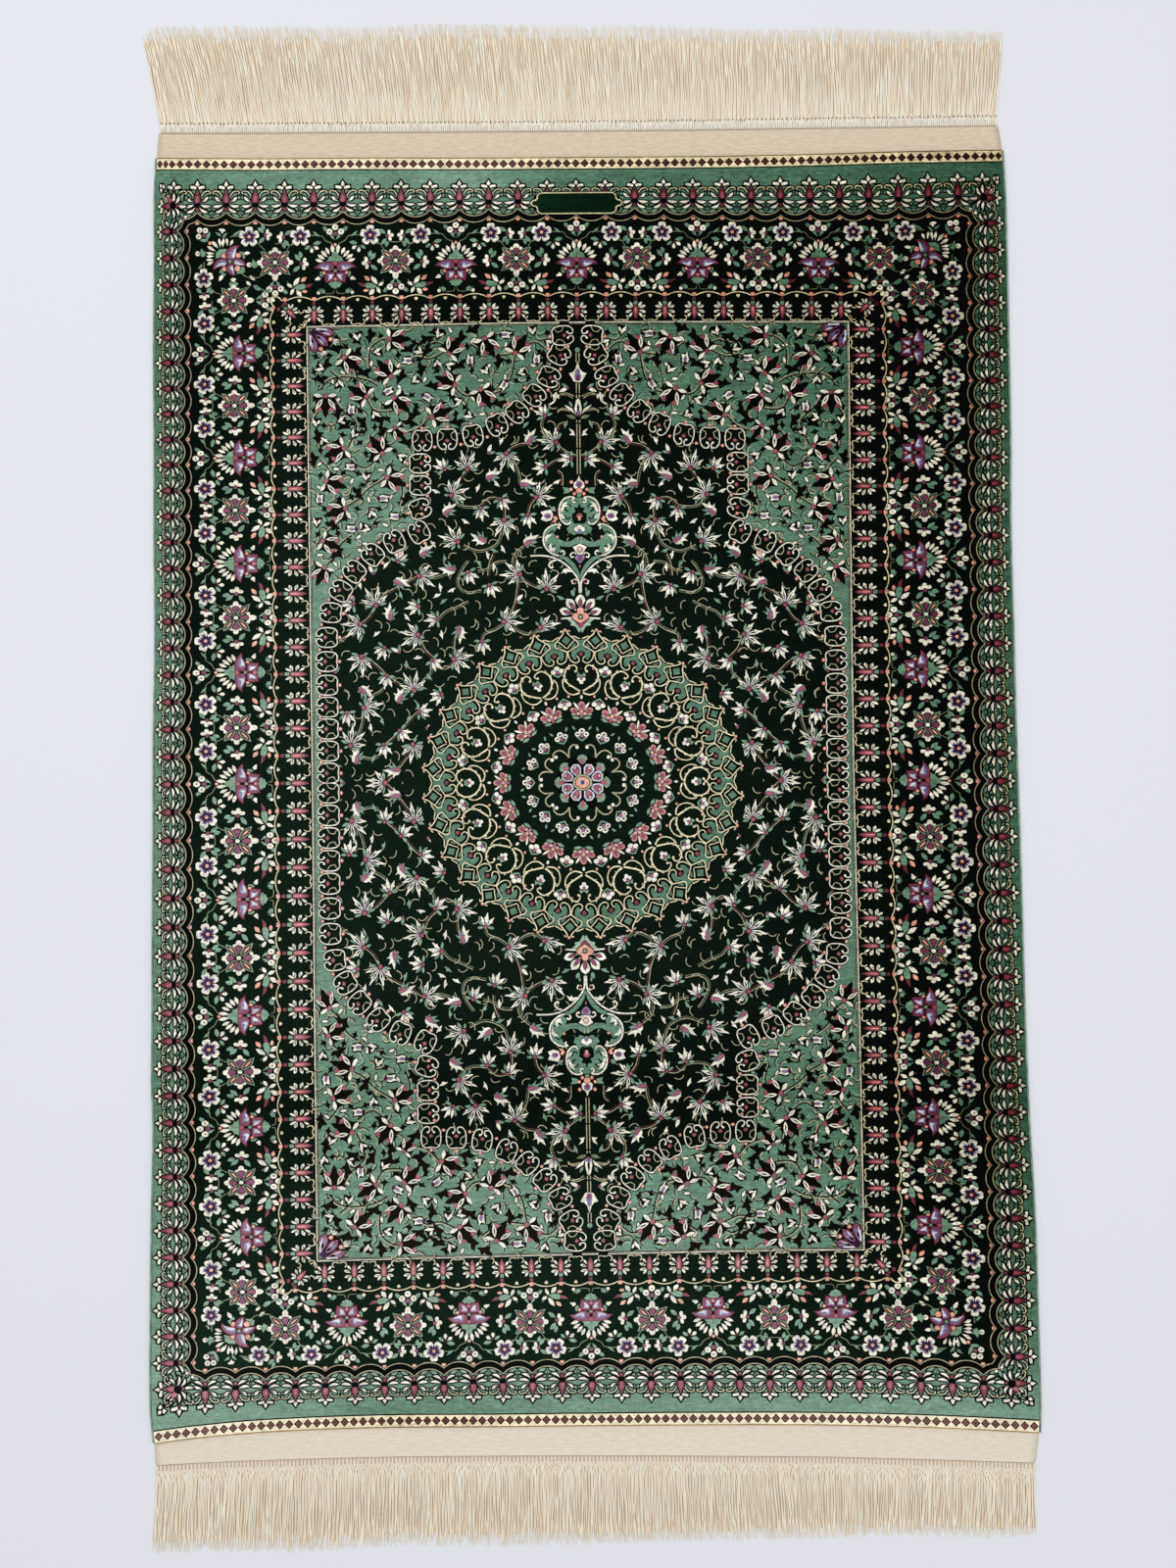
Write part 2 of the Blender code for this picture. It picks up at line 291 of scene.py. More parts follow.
def palmette(place):
    fan = ((9, 11.5, 9.2, 3.6), (27, 12.0, 7.6, 3.2), (42, 11.0, 8.6, 3.4), (57, 11.6, 8.2, 3.2), (71, 11.0, 8.8, 3.2))
    for turnBy, start, length, width in fan:
        twice(place, "ivory", moved(spot(0, turnBy), leaf(length, width, 0.55, start=start)), "ink", 0.5)
    once(place, "peach", disc(1.5, 20.0, 6), "claret", 0.4)
    once(place, "leaf", [2 + 7.5j, 4.5 + 8.2j, 6.5 + 6.4j, 8.5 + 6.2j, 9.5 + 3.2j, 12.4 + 2.4j, 13.4, 12.4 - 2.4j,
                         9.5 - 3.2j, 8.5 - 6.2j, 6.5 - 6.4j, 4.5 - 8.2j, 2 - 7.5j])
    once(place, "olive", [4 + 0.6j, 9.5 + 0.5j, 9.5 - 0.5j, 4 - 0.6j])
    twice(place, "mauve", [3.4 + 1.6j, 3.9 + 7j, 3.4 + 12j, 1 + 16.4j, -1.6 + 19.4j, -1.9 + 15j, -4.6 + 10j, -5.2 + 5j,
                           -3.4 + 1.6j], "claret", 0.7)
    twice(place, "lilac", [1.6 + 5.8j, 1.4 + 11j, -0.6 + 16.6j, -2.4 + 13j, -3.6 + 9j, -4.2 + 5.6j, -1.4 + 5.0j])
    twice(place, "milk", [0.6 + 7.2j, -1.4 + 9j, -0.9 + 14.6j, -2.6 + 12j, -4.0 + 8.4j, -3.2 + 6.2j])
    once(place, "rose", disc(2.1, 2.4, 8), "ink", 0.4)
    once(place, "leaf", disc(1.6, -4.8, 8), "ink", 0.5)
    twice(place, "mauve", [-6.4 + 0.9j, -6.6 + 9.2j, -10 + 9.7j, -15.6 + 8.8j, -14.6 + 3.4j, -13 + 0.8j], "claret", 0.7)
    twice(place, "lilac", [-7.4 + 1.6j, -7.4 + 7.6j, -10.4 + 6.2j, -13.8 + 6.8j, -12.4 + 3.4j, -10 + 2.2j])
    twice(place, "milk", [-8.2 + 1.7j, -8.4 + 6.6j, -9.2 + 5.6j, -13.4 + 6.4j, -11.4 + 3.2j])
    once(place, "rose", disc(2.0, -12.8, 8), "claret", 0.5)
    once(place, "peach", disc(0.9, -12.2, 6))
    twice(place, "peach", disc(1.5, -6.6 + 10.6j, 6), "claret", 0.4)
    twice(place, "leaf", [-5 + 12.6j, -5.6 + 14.4j, -9 + 14.4j, -10.6 + 12j, -9 + 11j, -8 + 12.8j])
    once(place, "leaf", [-15.6 + 4.8j, -17.4 + 6.4j, -18.4 + 4.4j, -20 + 4.2j, -20.6 + 2j, -22, -20.6 - 2j, -20 - 4.2j,
                         -18.4 - 4.4j, -17.4 - 6.4j, -15.6 - 4.8j, -14.8])
    twice(place, "ivory", [-9.6 + 16j, -11.6 + 13.6j, -13.4 + 14.6j, -13.4 + 19.2j, -12 + 18.6j])
    twice(place, "olive", ribbon([-23 + 1.2j, -25.6 + 1.6j, -26.2 + 4j, -26.4 + 8.8j], 0.7))
    twice(place, "leaf", [-25.8 + 9.4j, -23 + 9.6j, -20.8 + 13.6j, -22.6 + 12.4j, -22 + 16.2j, -24 + 13.8j, -26 + 12.8j])
    twice(place, "ivory", disc(1.7, -25.4 + 15.8j, 7))


def crown(start, wide, high):  # a petal of three round lobes
    return [start + 1.4j, start - 0.6 + wide * 0.8j, start + 0.8 + wide * 1j, start + 2.4 + wide * 0.86j,
            start + 2.6 + wide * 0.46j,
            start + high * 0.7 + wide * 0.42j, start + high * 0.96 + wide * 0.2j, start + high * 0.96 - wide * 0.2j,
            start + high * 0.7 - wide * 0.42j, start + 2.6 - wide * 0.46j, start + 2.4 - wide * 0.86j, start + 0.8 - wide * 1j,
            start - 0.6 - wide * 0.8j, start - 1.4j]


def rosette(place):
    for turnBy, start, wide, high in ((0, 8.4, 6.0, 6.0), (90, 10.6, 5.4, 6.6), (-90, 10.6, 5.4, 6.6), (180, 9.4, 6.2, 8.2)):
        petal = spot(0, turnBy)
        once(place, "ivory", moved(petal, crown(start, wide, high)), "ink", 0.6)
        once(place, "mauve", moved(petal, [3.6 + 0.8j, 6.2 + 2.7j, start + 0.4 + 2.5j, start + 1.4,
                                           start + 0.4 - 2.5j, 6.2 - 2.7j,
                                           3.6 - 0.8j]), "ink", 0.6)
    for turnBy, length, width, stripe in ((52, 17.4, 3.0, "peach"), (130, 18.8, 3.2, "peach")):
        for side in (1, -1):
            petal = spot(0, turnBy * side)
            once(place, "leaf", moved(petal, [1.6 + 0j, 5.6 + width * 0.8j, 9 + width * 1j, 13 + width * 0.9j, length,
                                              13 - width * 0.9j, 9 - width * 1j, 5.6 - width * 0.8j]), "ink", 0.7)
            once(place, "claret", moved(petal, leaf(length - 5.4, width * 1.3, 0.55, start=3.0)), "ink", 0.3)
            once(place, stripe, moved(petal, leaf(length - 9.4, 1.7, 0.5, start=5.6)))
    once(place, "ivory", disc(2.0, 0, 8), "ink", 0.9)


def fivePetals(place, first=0):
    once(place, "ink", disc(7.2, 0, 10))
    for k in range(5):
        petal = spot(0, first + 72 * k)
        once(place, "ivory", moved(petal, [3.2 + 1.2j, 5 + 3.3j, 8.0 + 3.5j, 9.4 + 2.2j, 9.4 - 2.2j, 8.0 - 3.5j, 5 - 3.3j,
                                           3.2 - 1.2j]), "ink", 0.3)
        once(place, "lilac", moved(petal, [2 + 1.3j, 5.8 + 2.1j, 6.8, 5.8 - 2.1j, 2 - 1.3j]))
        once(place, "plum", moved(petal, [1.6 + 1.1j, 4.4 + 1.5j, 5.6, 4.4 - 1.5j, 1.6 - 1.1j]))
    once(place, "plum", disc(2.9, 0, 8))
    once(place, "peach", disc(1.6, 0, 8))


def ringSpray(place):  # three small ring flowers over a mauve heart and two leaves
    twice(place, "leaf", [-5.6 + 0.6j, -2.6 + 4.6j, 1 + 5.2j, -0.6 + 2.2j])
    twice(place, "leaf", [4.2 + 5.6j, 7.6 + 9.8j, 6.4 + 12j, 3.0 + 10j])
    for at in (6.6, 2.4 + 5.4j, 2.4 - 5.4j):
        once(place, "ivory", disc(3.0, at, 8), "ink", 0.5)
        once(place, "bark", disc(0.75, at, 6))
    once(place, "mauve", disc(2.1, 0.2, 8), "ink", 0.3)


def trefoil(place):  # an ivory clover on a mauve heart, with two leaves behind
    for hold, turnBy, length in ((-1.0 + 2.4j, 136, 9.0), (-1.0 - 2.4j, -136, 9.0), (-0.5 + 5.6j, 112, 7.0)):
        once(place, "leaf", moved(spot(hold, turnBy), leaf(length, 4.2, 0.5)))
    once(place, "ivory", [1.0 + 1.6j, 1.0 + 4.8j, 2.4 + 6.2j, 4.2 + 5.6j, 4.4 + 3.2j, 3.8 + 2.0j, 6.2 + 2.0j, 7.4, 6.2 - 2.0j,
                          3.8 - 2.0j, 4.4 - 3.2j, 4.2 - 5.6j, 2.4 - 6.2j, 1.0 - 4.8j, 1.0 - 1.6j], "ink", 0.5)
    once(place, "mauve", disc(1.9, 0.0, 7), "ink", 0.3)


def sprig(place):  # two ivory petals between leaves
    once(place, "leaf", moved(spot(-1 + 1.6j, 72), leaf(8.5, 4.0, 0.5)))
    once(place, "leaf", moved(spot(-1 - 1.6j, -84), leaf(6.5, 3.4, 0.5)))
    for hold, turnBy in ((1 + 1j, 26), (1 - 1j, -30)):
        once(place, "ivory", moved(spot(hold, turnBy), leaf(6.0, 3.6, 0.62)), "ink", 0.5)
    once(place, "claret", disc(1.3, 0.6, 6))


def lilySpray(place):  # a green body with a claret tip, in a ring of ivory and pink petals
    for middle, turnBy, length, width, yarn in (
            (-2.2 + 5.8j, 42, 10, 4.0, "ivory"), (4.8 + 6.3j, 28, 7, 3.6, "peach"), (-8.0 - 2.6j, -129, 7, 3.2, "ivory"),
            (-9.1 + 3.6j, 135, 6, 3.2, "ivory"), (-2.2 - 5.4j, -63, 7.4, 4.2, "ivory"), (3.4 - 5.0j, -15, 5.4, 3.0, "peach")):
        once(place, yarn, moved(spot(middle - turned(turnBy) * length / 2, turnBy), leaf(length, width, 0.5)), "ink", 0.4)
    once(place, "leaf", [-6.4 + 0.4j, -2 + 2.6j, 3.6 + 2.5j, 5.4 + 1.0j, 5.0 - 1.6j, 2.6 - 2.7j, -2 - 2.4j], "ink", 0.6)
    once(place, "brick", [5.4 + 1.2j, 8.4 + 0.8j, 12.8 + 0.6j, 8.8 - 2.0j, 5.2 - 1.8j], "ink", 0.3)


def spotIn(place, at, heading=0, size=1, flip=False):
    inner = spot(at, heading, size, 1, flip)
    return lambda z: place(inner(z))


def borderCell(place, cell, sign):  # from a palmette at 0 to a rosette at the cell's far end
    def within(x, y):
        return complex(x, sign * y * cell / 56.2)

    def put(motif, x, y, heading=0, size=1.0):
        motif(spotIn(place, within(x, y), heading * sign, size, sign < 0))

    stemYarn = "olive"
    for knots in (((21, 3), (24, 9), (28.5, 13), (29, 24)), ((21.5, 56), (22, 50), (20, 42), (22, 36)),
                  ((12, 47), (20, 42), (24, 36)), ((-14, 45), (-20, 40), (-21, 36))):
        once(place, stemYarn, ribbon(smooth([within(*k) for k in knots], 4), 0.75))
    put(fivePetals, 28.6, 32.6, 0)
    put(trefoil, 27.6, 48.4, 82, 0.86)
    put(trefoil, 2.6, 31.6, -96, 0.95)
    put(sprig, 19.4, 21.6, -150, 0.95)
    put(lilySpray, -19.6, 33.0, -78, 1.0)
    once(place, "leaf", [within(*pair) for pair in ((33, 21), (31, 17), (27.6, 14.6), (29.6, 19))])


def mainBorder():
    # each run's +x points outwards, and +y runs away from the axis
    top = lambda z: complex(-z.imag, 486.5 + z.real)
    side = lambda z: complex(-316.5 - z.real * 1.09, z.imag)
    cell = 56.2
    for k in range(6):
        mid = cell * k
        near = lambda z, mid=mid: top(z + 1j * mid)
        if k % 2 == 0:
            palmette(near)
            ringSpray(spotIn(near, 30))
        else:
            rosette(spotIn(near, 4))
            ringSpray(spotIn(near, -18.5, 180))
        if k < 5:
            base = (k + 1) // 2 * 2 * cell
            sign = 1 if k % 2 == 0 else -1
            borderCell(lambda z, base=base: top(z + 1j * base), cell, sign)
    sideCell = 50.6
    for k in range(10):
        mid = sideCell * k
        near = lambda z, mid=mid: side(complex(z.real, z.imag * 0.9) + 1j * mid)
        if k % 2 == 0:
            palmette(near)
            ringSpray(spotIn(near, 30))
        else:
            rosette(spotIn(near, 3))
            ringSpray(spotIn(near, -21.5, 180))
        if k < 9:
            base = (k + 1) // 2 * 2 * sideCell
            sign = 1 if k % 2 == 0 else -1
            borderCell(lambda z, base=base: side(complex(z.real, z.imag) + 1j * base), sideCell, sign)
    borderCorner()


def halfRing(place):  # a small ring flower between leaflets
    once(place, "leaf", [-0.4 + 0.6j, 1.2 + 5.4j, 3.6 + 2.4j, 6.6 + 1.6j, 4.4, 6.0 - 1.4j, 2.0 - 3.8j, -0.2 - 0.8j])
    once(place, "ivory", disc(2.5, -2.6, 7), "ink", 0.5)
    once(place, "bark", disc(0.9, -1.8, 5))


def cornerWing(place, shape, stripe, gleam):
    once(place, "mauve", shape, "claret", 0.7)
    once(place, "lilac", stripe)
    once(place, "milk", gleam)


def borderCorner():  # the palmette that turns the main border's corner, and what lies round it
    lay("leaf", [-336.6 + 495j, -335.8 + 501j, -332 + 503.8j, -326.4 + 503.8j, -325.4 + 501j, -329 + 499j, -331.6 + 496.4j],
        "ink", 0.5)
    for at, turnBy, length, width in (
            (-332.0 + 505.2j, 97, 8.8, 2.5), (-329.8 + 505.2j, 83, 8.8, 2.5), (-325.2 + 506.6j, 97, 7.4, 2.4),
            (-323.0 + 506.6j, 62, 6.4, 2.6), (-333.8 + 504.4j, 131, 9.0, 3.4), (-336.4 + 501.8j, 149, 9.2, 3.0),
            (-337.6 + 499.6j, 174, 7.6, 2.5), (-337.6 + 497.4j, 184, 7.6, 2.5), (-338.0 + 493.8j, 180, 7.4, 2.5),
            (-338.2 + 492.2j, 204, 7.0, 2.8)):
        once(spot(at, turnBy), "ivory", leaf(length, width, 0.62))
    lay("ivory", box(-332.4, -329.2, 508.4, 509.9))
    lay("peach", disc(1.7, -341.6 + 509.2j, 6), "claret", 0.4)
    lay("leaf", [-314.6 + 501j, -310.4 + 501j, -308.6 + 496j, -310.2 + 494j, -311.8 + 498.4j])
    lay("leaf", [-313.4 + 487j, -309.8 + 486.6j, -308.8 + 482.6j, -311.4 + 480.6j, -316.6 + 480.6j, -318 + 478.8j,
                 -315.4 + 483.6j])
    lay("leaf", [-333.4 + 482j, -331.2 + 485.4j, -329.8 + 482j, -326.4 + 480.4j, -328 + 478.2j, -330 + 480.4j])
    for at, size in ((-328.6 + 497.2j, 2.3), (-315.2 + 497.6j, 2.4), (-328.2 + 485.4j, 2.3), (-316.0 + 485.6j, 2.7)):
        lay("peach", disc(size, at, 8), "claret", 0.7)
    flat = lambda z: z
    cornerWing(flat, [-325.4 + 494.4j, -327.0 + 498.6j, -325.6 + 502.6j, -322.4 + 505.4j, -318.4 + 506.6j, -314.6 + 506.6j,
                      -317.2 + 503j, -317.6 + 499j, -318.4 + 495.4j, -320.4 + 493.8j],
               [-324.2 + 495.6j, -323.6 + 500.2j, -320 + 504j, -317.6 + 504.8j, -318.2 + 500j, -318.8 + 495.6j,
                -321.6 + 494.6j],
               [-320.6 + 495.2j, -321.2 + 498j, -319.4 + 501.6j, -317.0 + 505.2j, -317.6 + 500j, -318.6 + 495.6j])
    cornerWing(flat, [-326 + 494.6j, -330 + 495.4j, -334.2 + 493.8j, -337.4 + 490.6j, -338.8 + 487.2j, -338.4 + 484.4j,
                      -335.4 + 487.0j, -331.6 + 487.6j, -327.4 + 488.2j, -325.2 + 490.6j],
               [-327 + 493j, -331 + 493.6j, -335 + 491j, -337.2 + 486.8j, -332 + 488.4j, -327 + 489j],
               [-326.4 + 490.6j, -330 + 491.2j, -333.6 + 490.2j, -337.8 + 486j, -333 + 488.2j, -328 + 488.4j])
    cornerWing(flat, [-320.6 + 492.6j, -318.6 + 494.8j, -315 + 495.0j, -311.6 + 493.2j, -309.4 + 490.6j, -308.4 + 488.2j,
                      -312 + 488.2j, -316 + 488.6j, -319.6 + 489.4j],
               [-319.6 + 492.6j, -316 + 493.6j, -312 + 491.6j, -310.4 + 489.2j, -318 + 489.6j],
               [-319 + 490.6j, -316.8 + 492.6j, -314 + 490.6j, -309.6 + 488.8j, -314 + 488.8j, -318.4 + 489.6j])
    cornerWing(flat, [-324.6 + 489.4j, -326.4 + 486.4j, -325.6 + 482.6j, -322.6 + 480j, -319.4 + 479j, -318.6 + 482j,
                      -319.4 + 486j, -320.2 + 489.6j],
               [-321.6 + 489j, -324.6 + 486.6j, -322.8 + 482.4j, -319.8 + 480.2j, -319.8 + 486j],
               [-320.6 + 488j, -323.2 + 486.6j, -321.4 + 484j, -319.4 + 479.8j, -319.6 + 484j])
    lay("leaf", disc(1.8, -323 + 492j, 8), "ink", 0.6)
    # drops, sprays and small flowers round it
    for at, turnBy, length, width in ((-310 + 499.4j, 6, 6.2, 3.2), (-329.6 + 480j, -122, 7.4, 3.6),
                                      (-304.8 + 478.4j, -40, 6.8, 3.0),
                                      (-308 + 473.2j, -40, 6.0, 3.0)):
        once(spot(at, turnBy), "ivory", leaf(length, width, 0.45))
    fivePetals(spot(-305 + 515j, 90))
    fivePetals(spot(-348 + 476.6j, 90, 0.96))
    trefoil(spot(-290 + 516.6j, 4, 0.86))
    trefoil(spot(-347.6 + 462.0j, -86, 0.82))
    for at in (-351.4 + 521.6j, -346 + 521.2j, -352.4 + 515.6j):
        lay("ivory", disc(2.7, at, 7), "ink", 0.4)
        lay("bark", disc(0.8, at, 5))
    lay("mauve", disc(2.0, -347.4 + 516.6j, 7))
    once(spot(-345.4 + 511.6j, 66), "leaf", leaf(9.4, 3.4, 0.5))
    once(spot(-351.6 + 512.4j, -6), "leaf", leaf(8.6, 3.0, 0.5))
    lay("ivory", [-333.6 + 521.8j, -332 + 523j, -328.6 + 522.8j, -327 + 520.8j, -329 + 519.8j, -330.4 + 518.2j,
                  -331.2 + 520.4j])
    lay("leaf", [-336.8 + 519.8j, -332.4 + 518.4j, -331 + 515.6j, -334 + 516.4j])
    lay("leaf", [-325.2 + 519j, -327.8 + 514.6j, -330 + 514j, -329 + 517.4j])
    lay("leaf", [-321 + 515.8j, -318.4 + 518.6j, -312.2 + 521.8j, -315 + 517.6j])
    lay("olive", ribbon([-322.6 + 515.2j, -313 + 516.4j], 0.8))
    halfRing(spot(-351 + 499.8j, 0, 0.95))
    halfRing(spot(-302.6 + 488.8j, 0, 0.95))
    lay("olive", ribbon([-347.6 + 492j, -347.4 + 485.8j], 0.9))
    lay("leaf", [-353.4 + 485.8j, -350.4 + 489.8j, -348.8 + 489.2j, -350.6 + 486.2j])
    lay("ivory", [-322.8 + 475.2j, -320.4 + 476.8j, -317.4 + 475.6j, -318.6 + 473.4j, -320.4 + 472.8j])
    lay("leaf", [-324.2 + 471j, -322.6 + 473.2j, -320.6 + 471.6j, -317.4 + 473.2j, -315.2 + 471j, -317 + 469.2j, -320 + 470.4j,
                 -323 + 469j])
    lay("leaf", [-301.6 + 468.8j, -298.6 + 469.8j, -294.6 + 467j, -293.4 + 464.8j, -297 + 464.4j, -299.4 + 465.6j])
    for knots in ((-297.6 + 509.4j, -294 + 506j, -290.4 + 502j), (-313 + 481.6j, -308.6 + 478j, -304.6 + 477j,
                                                            -297 + 476.6j, -291 + 479.6j),
                  (-310 + 463j, -306 + 467j, -304 + 470j), (-341 + 467j, -336.4 + 463j, -331 + 461.4j),
                  (-293 + 466j, -290.6 + 461.6j, -289 + 462j)):
        lay("olive", ribbon(smooth(knots, 3), 0.8))


# ---- the inner guard


def innerBud(place):
    once(place, "brick", box(3.4, 6.2, -1.5, 1.5))
    once(place, "leaf", box(7.2, 10.6, -1.7, 1.7))
    for hold, turnBy, length, width in ((13.0 + 2.2j, 146, 6.4, 2.3), (13.4 + 3.0j, 108, 6.4, 2.6), (15.6 + 3.2j, 70, 6.6, 2.6),
                                        (18.0 + 2.8j, 40, 5.6, 2.2)):
        twice(place, "ivory", moved(spot(hold, turnBy), leaf(length, width, 0.6)), "night", 0.4)
    twice(place, "night", moved(spot(13.4 + 3.0j, 108), leaf(3.0, 0.8, 0.5, start=1.6)))
    twice(place, "night", moved(spot(15.6 + 3.2j, 70), leaf(3.0, 0.8, 0.5, start=1.6)))
    once(place, "brick", [11.2 + 1.5j, 13.6 + 2.5j, 18 + 2.6j, 21.6 + 1.7j, 24.8, 21.6 - 1.7j, 18 - 2.6j,
                          13.6 - 2.5j, 11.2 - 1.5j],
         "night", 0.6)
    once(place, "rose", [11.8 + 1.0j, 14.2 + 1.9j, 18.4 + 1.8j, 22.4, 18.4 - 1.8j, 14.2 - 1.9j, 11.8 - 1.0j])
    once(place, "peach", [13 + 0.5j, 18.4 + 0.4j, 18.4 - 0.4j, 13 - 0.5j])
    twice(place, "straw", ribbon([20.6 + 8.6j, 22.4 + 7.2j, 24.8 + 7.6j, 25.6 + 10.2j, 24.6 + 13.2j], 0.85))


def beadLine():
    lay("night", [-bead["u"] + 0j, complex(-bead["u"], bead["v"] - 9.5), complex(-bead["u"] + 3.6, bead["v"] - 3.5),
                 complex(-bead["u"] + 12.5, bead["v"]), complex(0, bead["v"]), 0j])
    for k in range(11):
        at = complex(-27.2 * k, bead["v"] - 0.5)
        arc = [at + complex(-27.2 * t, -2.2 + 4.4 * (1 - abs(1 - 2 * t) ** 2)) for t in (0.06, 0.2, 0.35, 0.5, 0.65, 0.8, 0.94)]
        if k < 10:
            lay("straw", ribbon(arc, 0.85), "bark", 0.4)
            once(spot(at - 13.6, -90), "straw", [0.2 + 1.4j, 1.8 + 1.5j, 3.2, 1.8 - 1.5j, 0.2 - 1.4j])
    for k in range(19):
        at = complex(-bead["u"] + 0.5, 24.8 * k)
        arc = [at + complex(2.2 - 4.4 * (1 - abs(1 - 2 * t) ** 2), 24.8 * t) for t in (0.06, 0.2, 0.35, 0.5, 0.65, 0.8, 0.94)]
        if k < 18:
            lay("straw", ribbon(arc, 0.85), "bark", 0.4)
            once(spot(at + 12.4j, 0), "straw", [0.2 + 1.4j, 1.8 + 1.5j, 3.2, 1.8 - 1.5j, 0.2 - 1.4j])
    lay("straw", ribbon(smooth([-274.4 + 454.2j, -278 + 457.6j, -282 + 458.2j, -286 + 456.8j], 3), 1.1), "bark", 0.4)
    lay("straw", ribbon(smooth([-286 + 457j, -285 + 453j, -282.6 + 449j, -281.4 + 447.4j], 3), 1.1), "bark", 0.4)
    lay("ivory", [-285 + 457.2j, -282 + 457.4j, -281.2 + 454.6j, -283 + 453.2j, -284.6 + 455j])


def innerGuard():
    beadLine()
    fan = [-1.0 + 1.6j, 0.4 + 2.0j, 2.4 + 0.9j, 2.4 - 0.9j, 0.4 - 2.0j, -1.0 - 1.6j]
    for k in range(11):
        place = spot(complex(-27.2 * k, bead["v"]), -90)
        once(place, "peach", fan, "claret", 0.4)
        if k < 10:
            innerBud(place)
    innerBud(spot(-276.8 + 452.4j, -45, 0.86))
    once(spot(-272 + 456j, -90), "brick", box(3.2, 5.6, -1.6, 1.6), "bark", 0.5)
    once(spot(-284.5 + 446.4j, 0), "brick", box(5.2, 8.0, -1.6, 1.6), "bark", 0.5)
    for k in range(19):
        place = spot(complex(-bead["u"], 24.8 * k), 0, 1.0)
        once(place, "peach", fan, "claret", 0.4)
        if k < 18:
            innerBud(lambda z, k=k: complex(-bead["u"] + z.real * 1.215, 24.8 * k + z.imag * 0.912))


def fieldLines():
    u, v = fieldEdge["u"], fieldEdge["v"]
    for yarn, out in (("ink", 2.7), ("ivory", 1.9), ("ink", 1.1), ("stone", 0.4), ("ink", -0.1), ("sea", -0.8)):
        lay(yarn, box(-u - out * 1.05, 0, 0, v + out))


# ---- the spandrels: dark lilies and curling vines on sea green

lilies = (  # across, along, heading of the dark petal, size
    (-175, 415.5, 0, 1), (-217, 399, -42, 1), (-173.5, 380, 129, 1), (-120, 401, 53, 1), (-114, 371, 157, 1),
    (-235, 362, -90, 1), (-196.5, 360.5, 149, 1), (-171, 359.5, -45, 1), (-136, 340.5, 22, 1),
    (-170.5, 330.5, -54, 0.75), (-218, 311.5, 204, 1), (-182.5, 306, 124, 1), (-86.5, 415, -63, 1),
    (-58, 400.5, 58, 1), (-90.5, 366, -62, 1), (-235.5, 280, -19, 1), (-217.5, 253.5, 200, 1), (-178.5, 283, -24, 1),
    (-239, 223, -24, 0.9), (-237.5, 198, 245, 0.9),
)
spandrelBuds = (
    (-156.5, 394.7, 180), (-211, 347, 90), (-141, 360, -30), (-177.5, 365, 30), (-100, 393, 90), (-38, 393, 90),
    (-68, 371, -120), (-68, 418, 0), (-211, 293, 180), (-183, 263, 0), (-170.5, 245.5, 180), (-211, 234, 180),
    (-241.5, 261.5, 90),
)
spandrelSprigs = (
    (-204, 417, 100), (-237.5, 389, 160), (-222.5, 375.5, -80), (-243.5, 334.5, 90), (-221.5, 337, 20),
    (-238.5, 320, -60), (-152, 374.5, 40), (-145.5, 403.5, 150), (-129, 418, 60), (-190, 344.5, -60), (-187.5, 403, 10),
    (-131, 393, -80), (-121, 389.5, -20), (-110, 356, 200), (-209, 323, 60), (-84.5, 383, 130), (-41, 420, 100),
    (-28, 410.5, -40), (-53.5, 381, 20), (-100, 341, 150), (-197.5, 282, 90), (-194, 249.5, -70), (-244, 239, 90),
    (-166.5, 303, -30), (-196.5, 234.5, 170),
)
darkLeaves = (
    (-192, 419, 80), (-206, 417, 130), (-157.5, 405.5, 20), (-140, 415.5, 200), (-131, 421, 0), (-140, 403.5, 60),
    (-110, 389, 30), (-145, 385.5, 90), (-199, 383.5, 10), (-164, 379, 60), (-135, 370, 0), (-234, 391, 60),
    (-240, 378, 0), (-223, 345.5, 90), (-217.5, 332.5, 30), (-200, 335.5, 120), (-185.5, 338, 0), (-152, 343, 60),
    (-155.5, 335.5, 160), (-113, 334.5, 0), (-182, 326.5, 90), (-242, 323, 90), (-225, 407, 0), (-206, 402, 40),
    (-97, 423, 20), (-73, 392, 80), (-47, 366, 30), (-228, 300, 40), (-205, 268, 120), (-190, 300, 20), (-160, 262, 60),
    (-226, 210, 30), (-246, 300, 90), (-160, 316, 0), (-108, 415, 70), (-74, 352, 0), (-30, 395, 90), (-229, 238, 150),
)


def darkLeaf(place, size=1.0):
    once(place, "moss", [size * z for z in smooth([-8.4 + 0.6j, -4.2 + 2.2j, -1.4 + 6.0j, 0.4 + 2.4j, 4.0 + 4.0j, 8.8 + 1.6j,
                                                   4.4 - 0.9j, 3.8 - 5.4j, -0.4 - 2.4j, -4.2 - 1.2j], 2, True)])


def hollowPetal(place, length, width):  # an ivory petal with a dark slit
    once(place, "ivory", leaf(length, width, 0.45), "moss", 0.6)
    once(place, "moss", leaf(length * 0.55, width * 0.34, 0.5, start=length * 0.16))


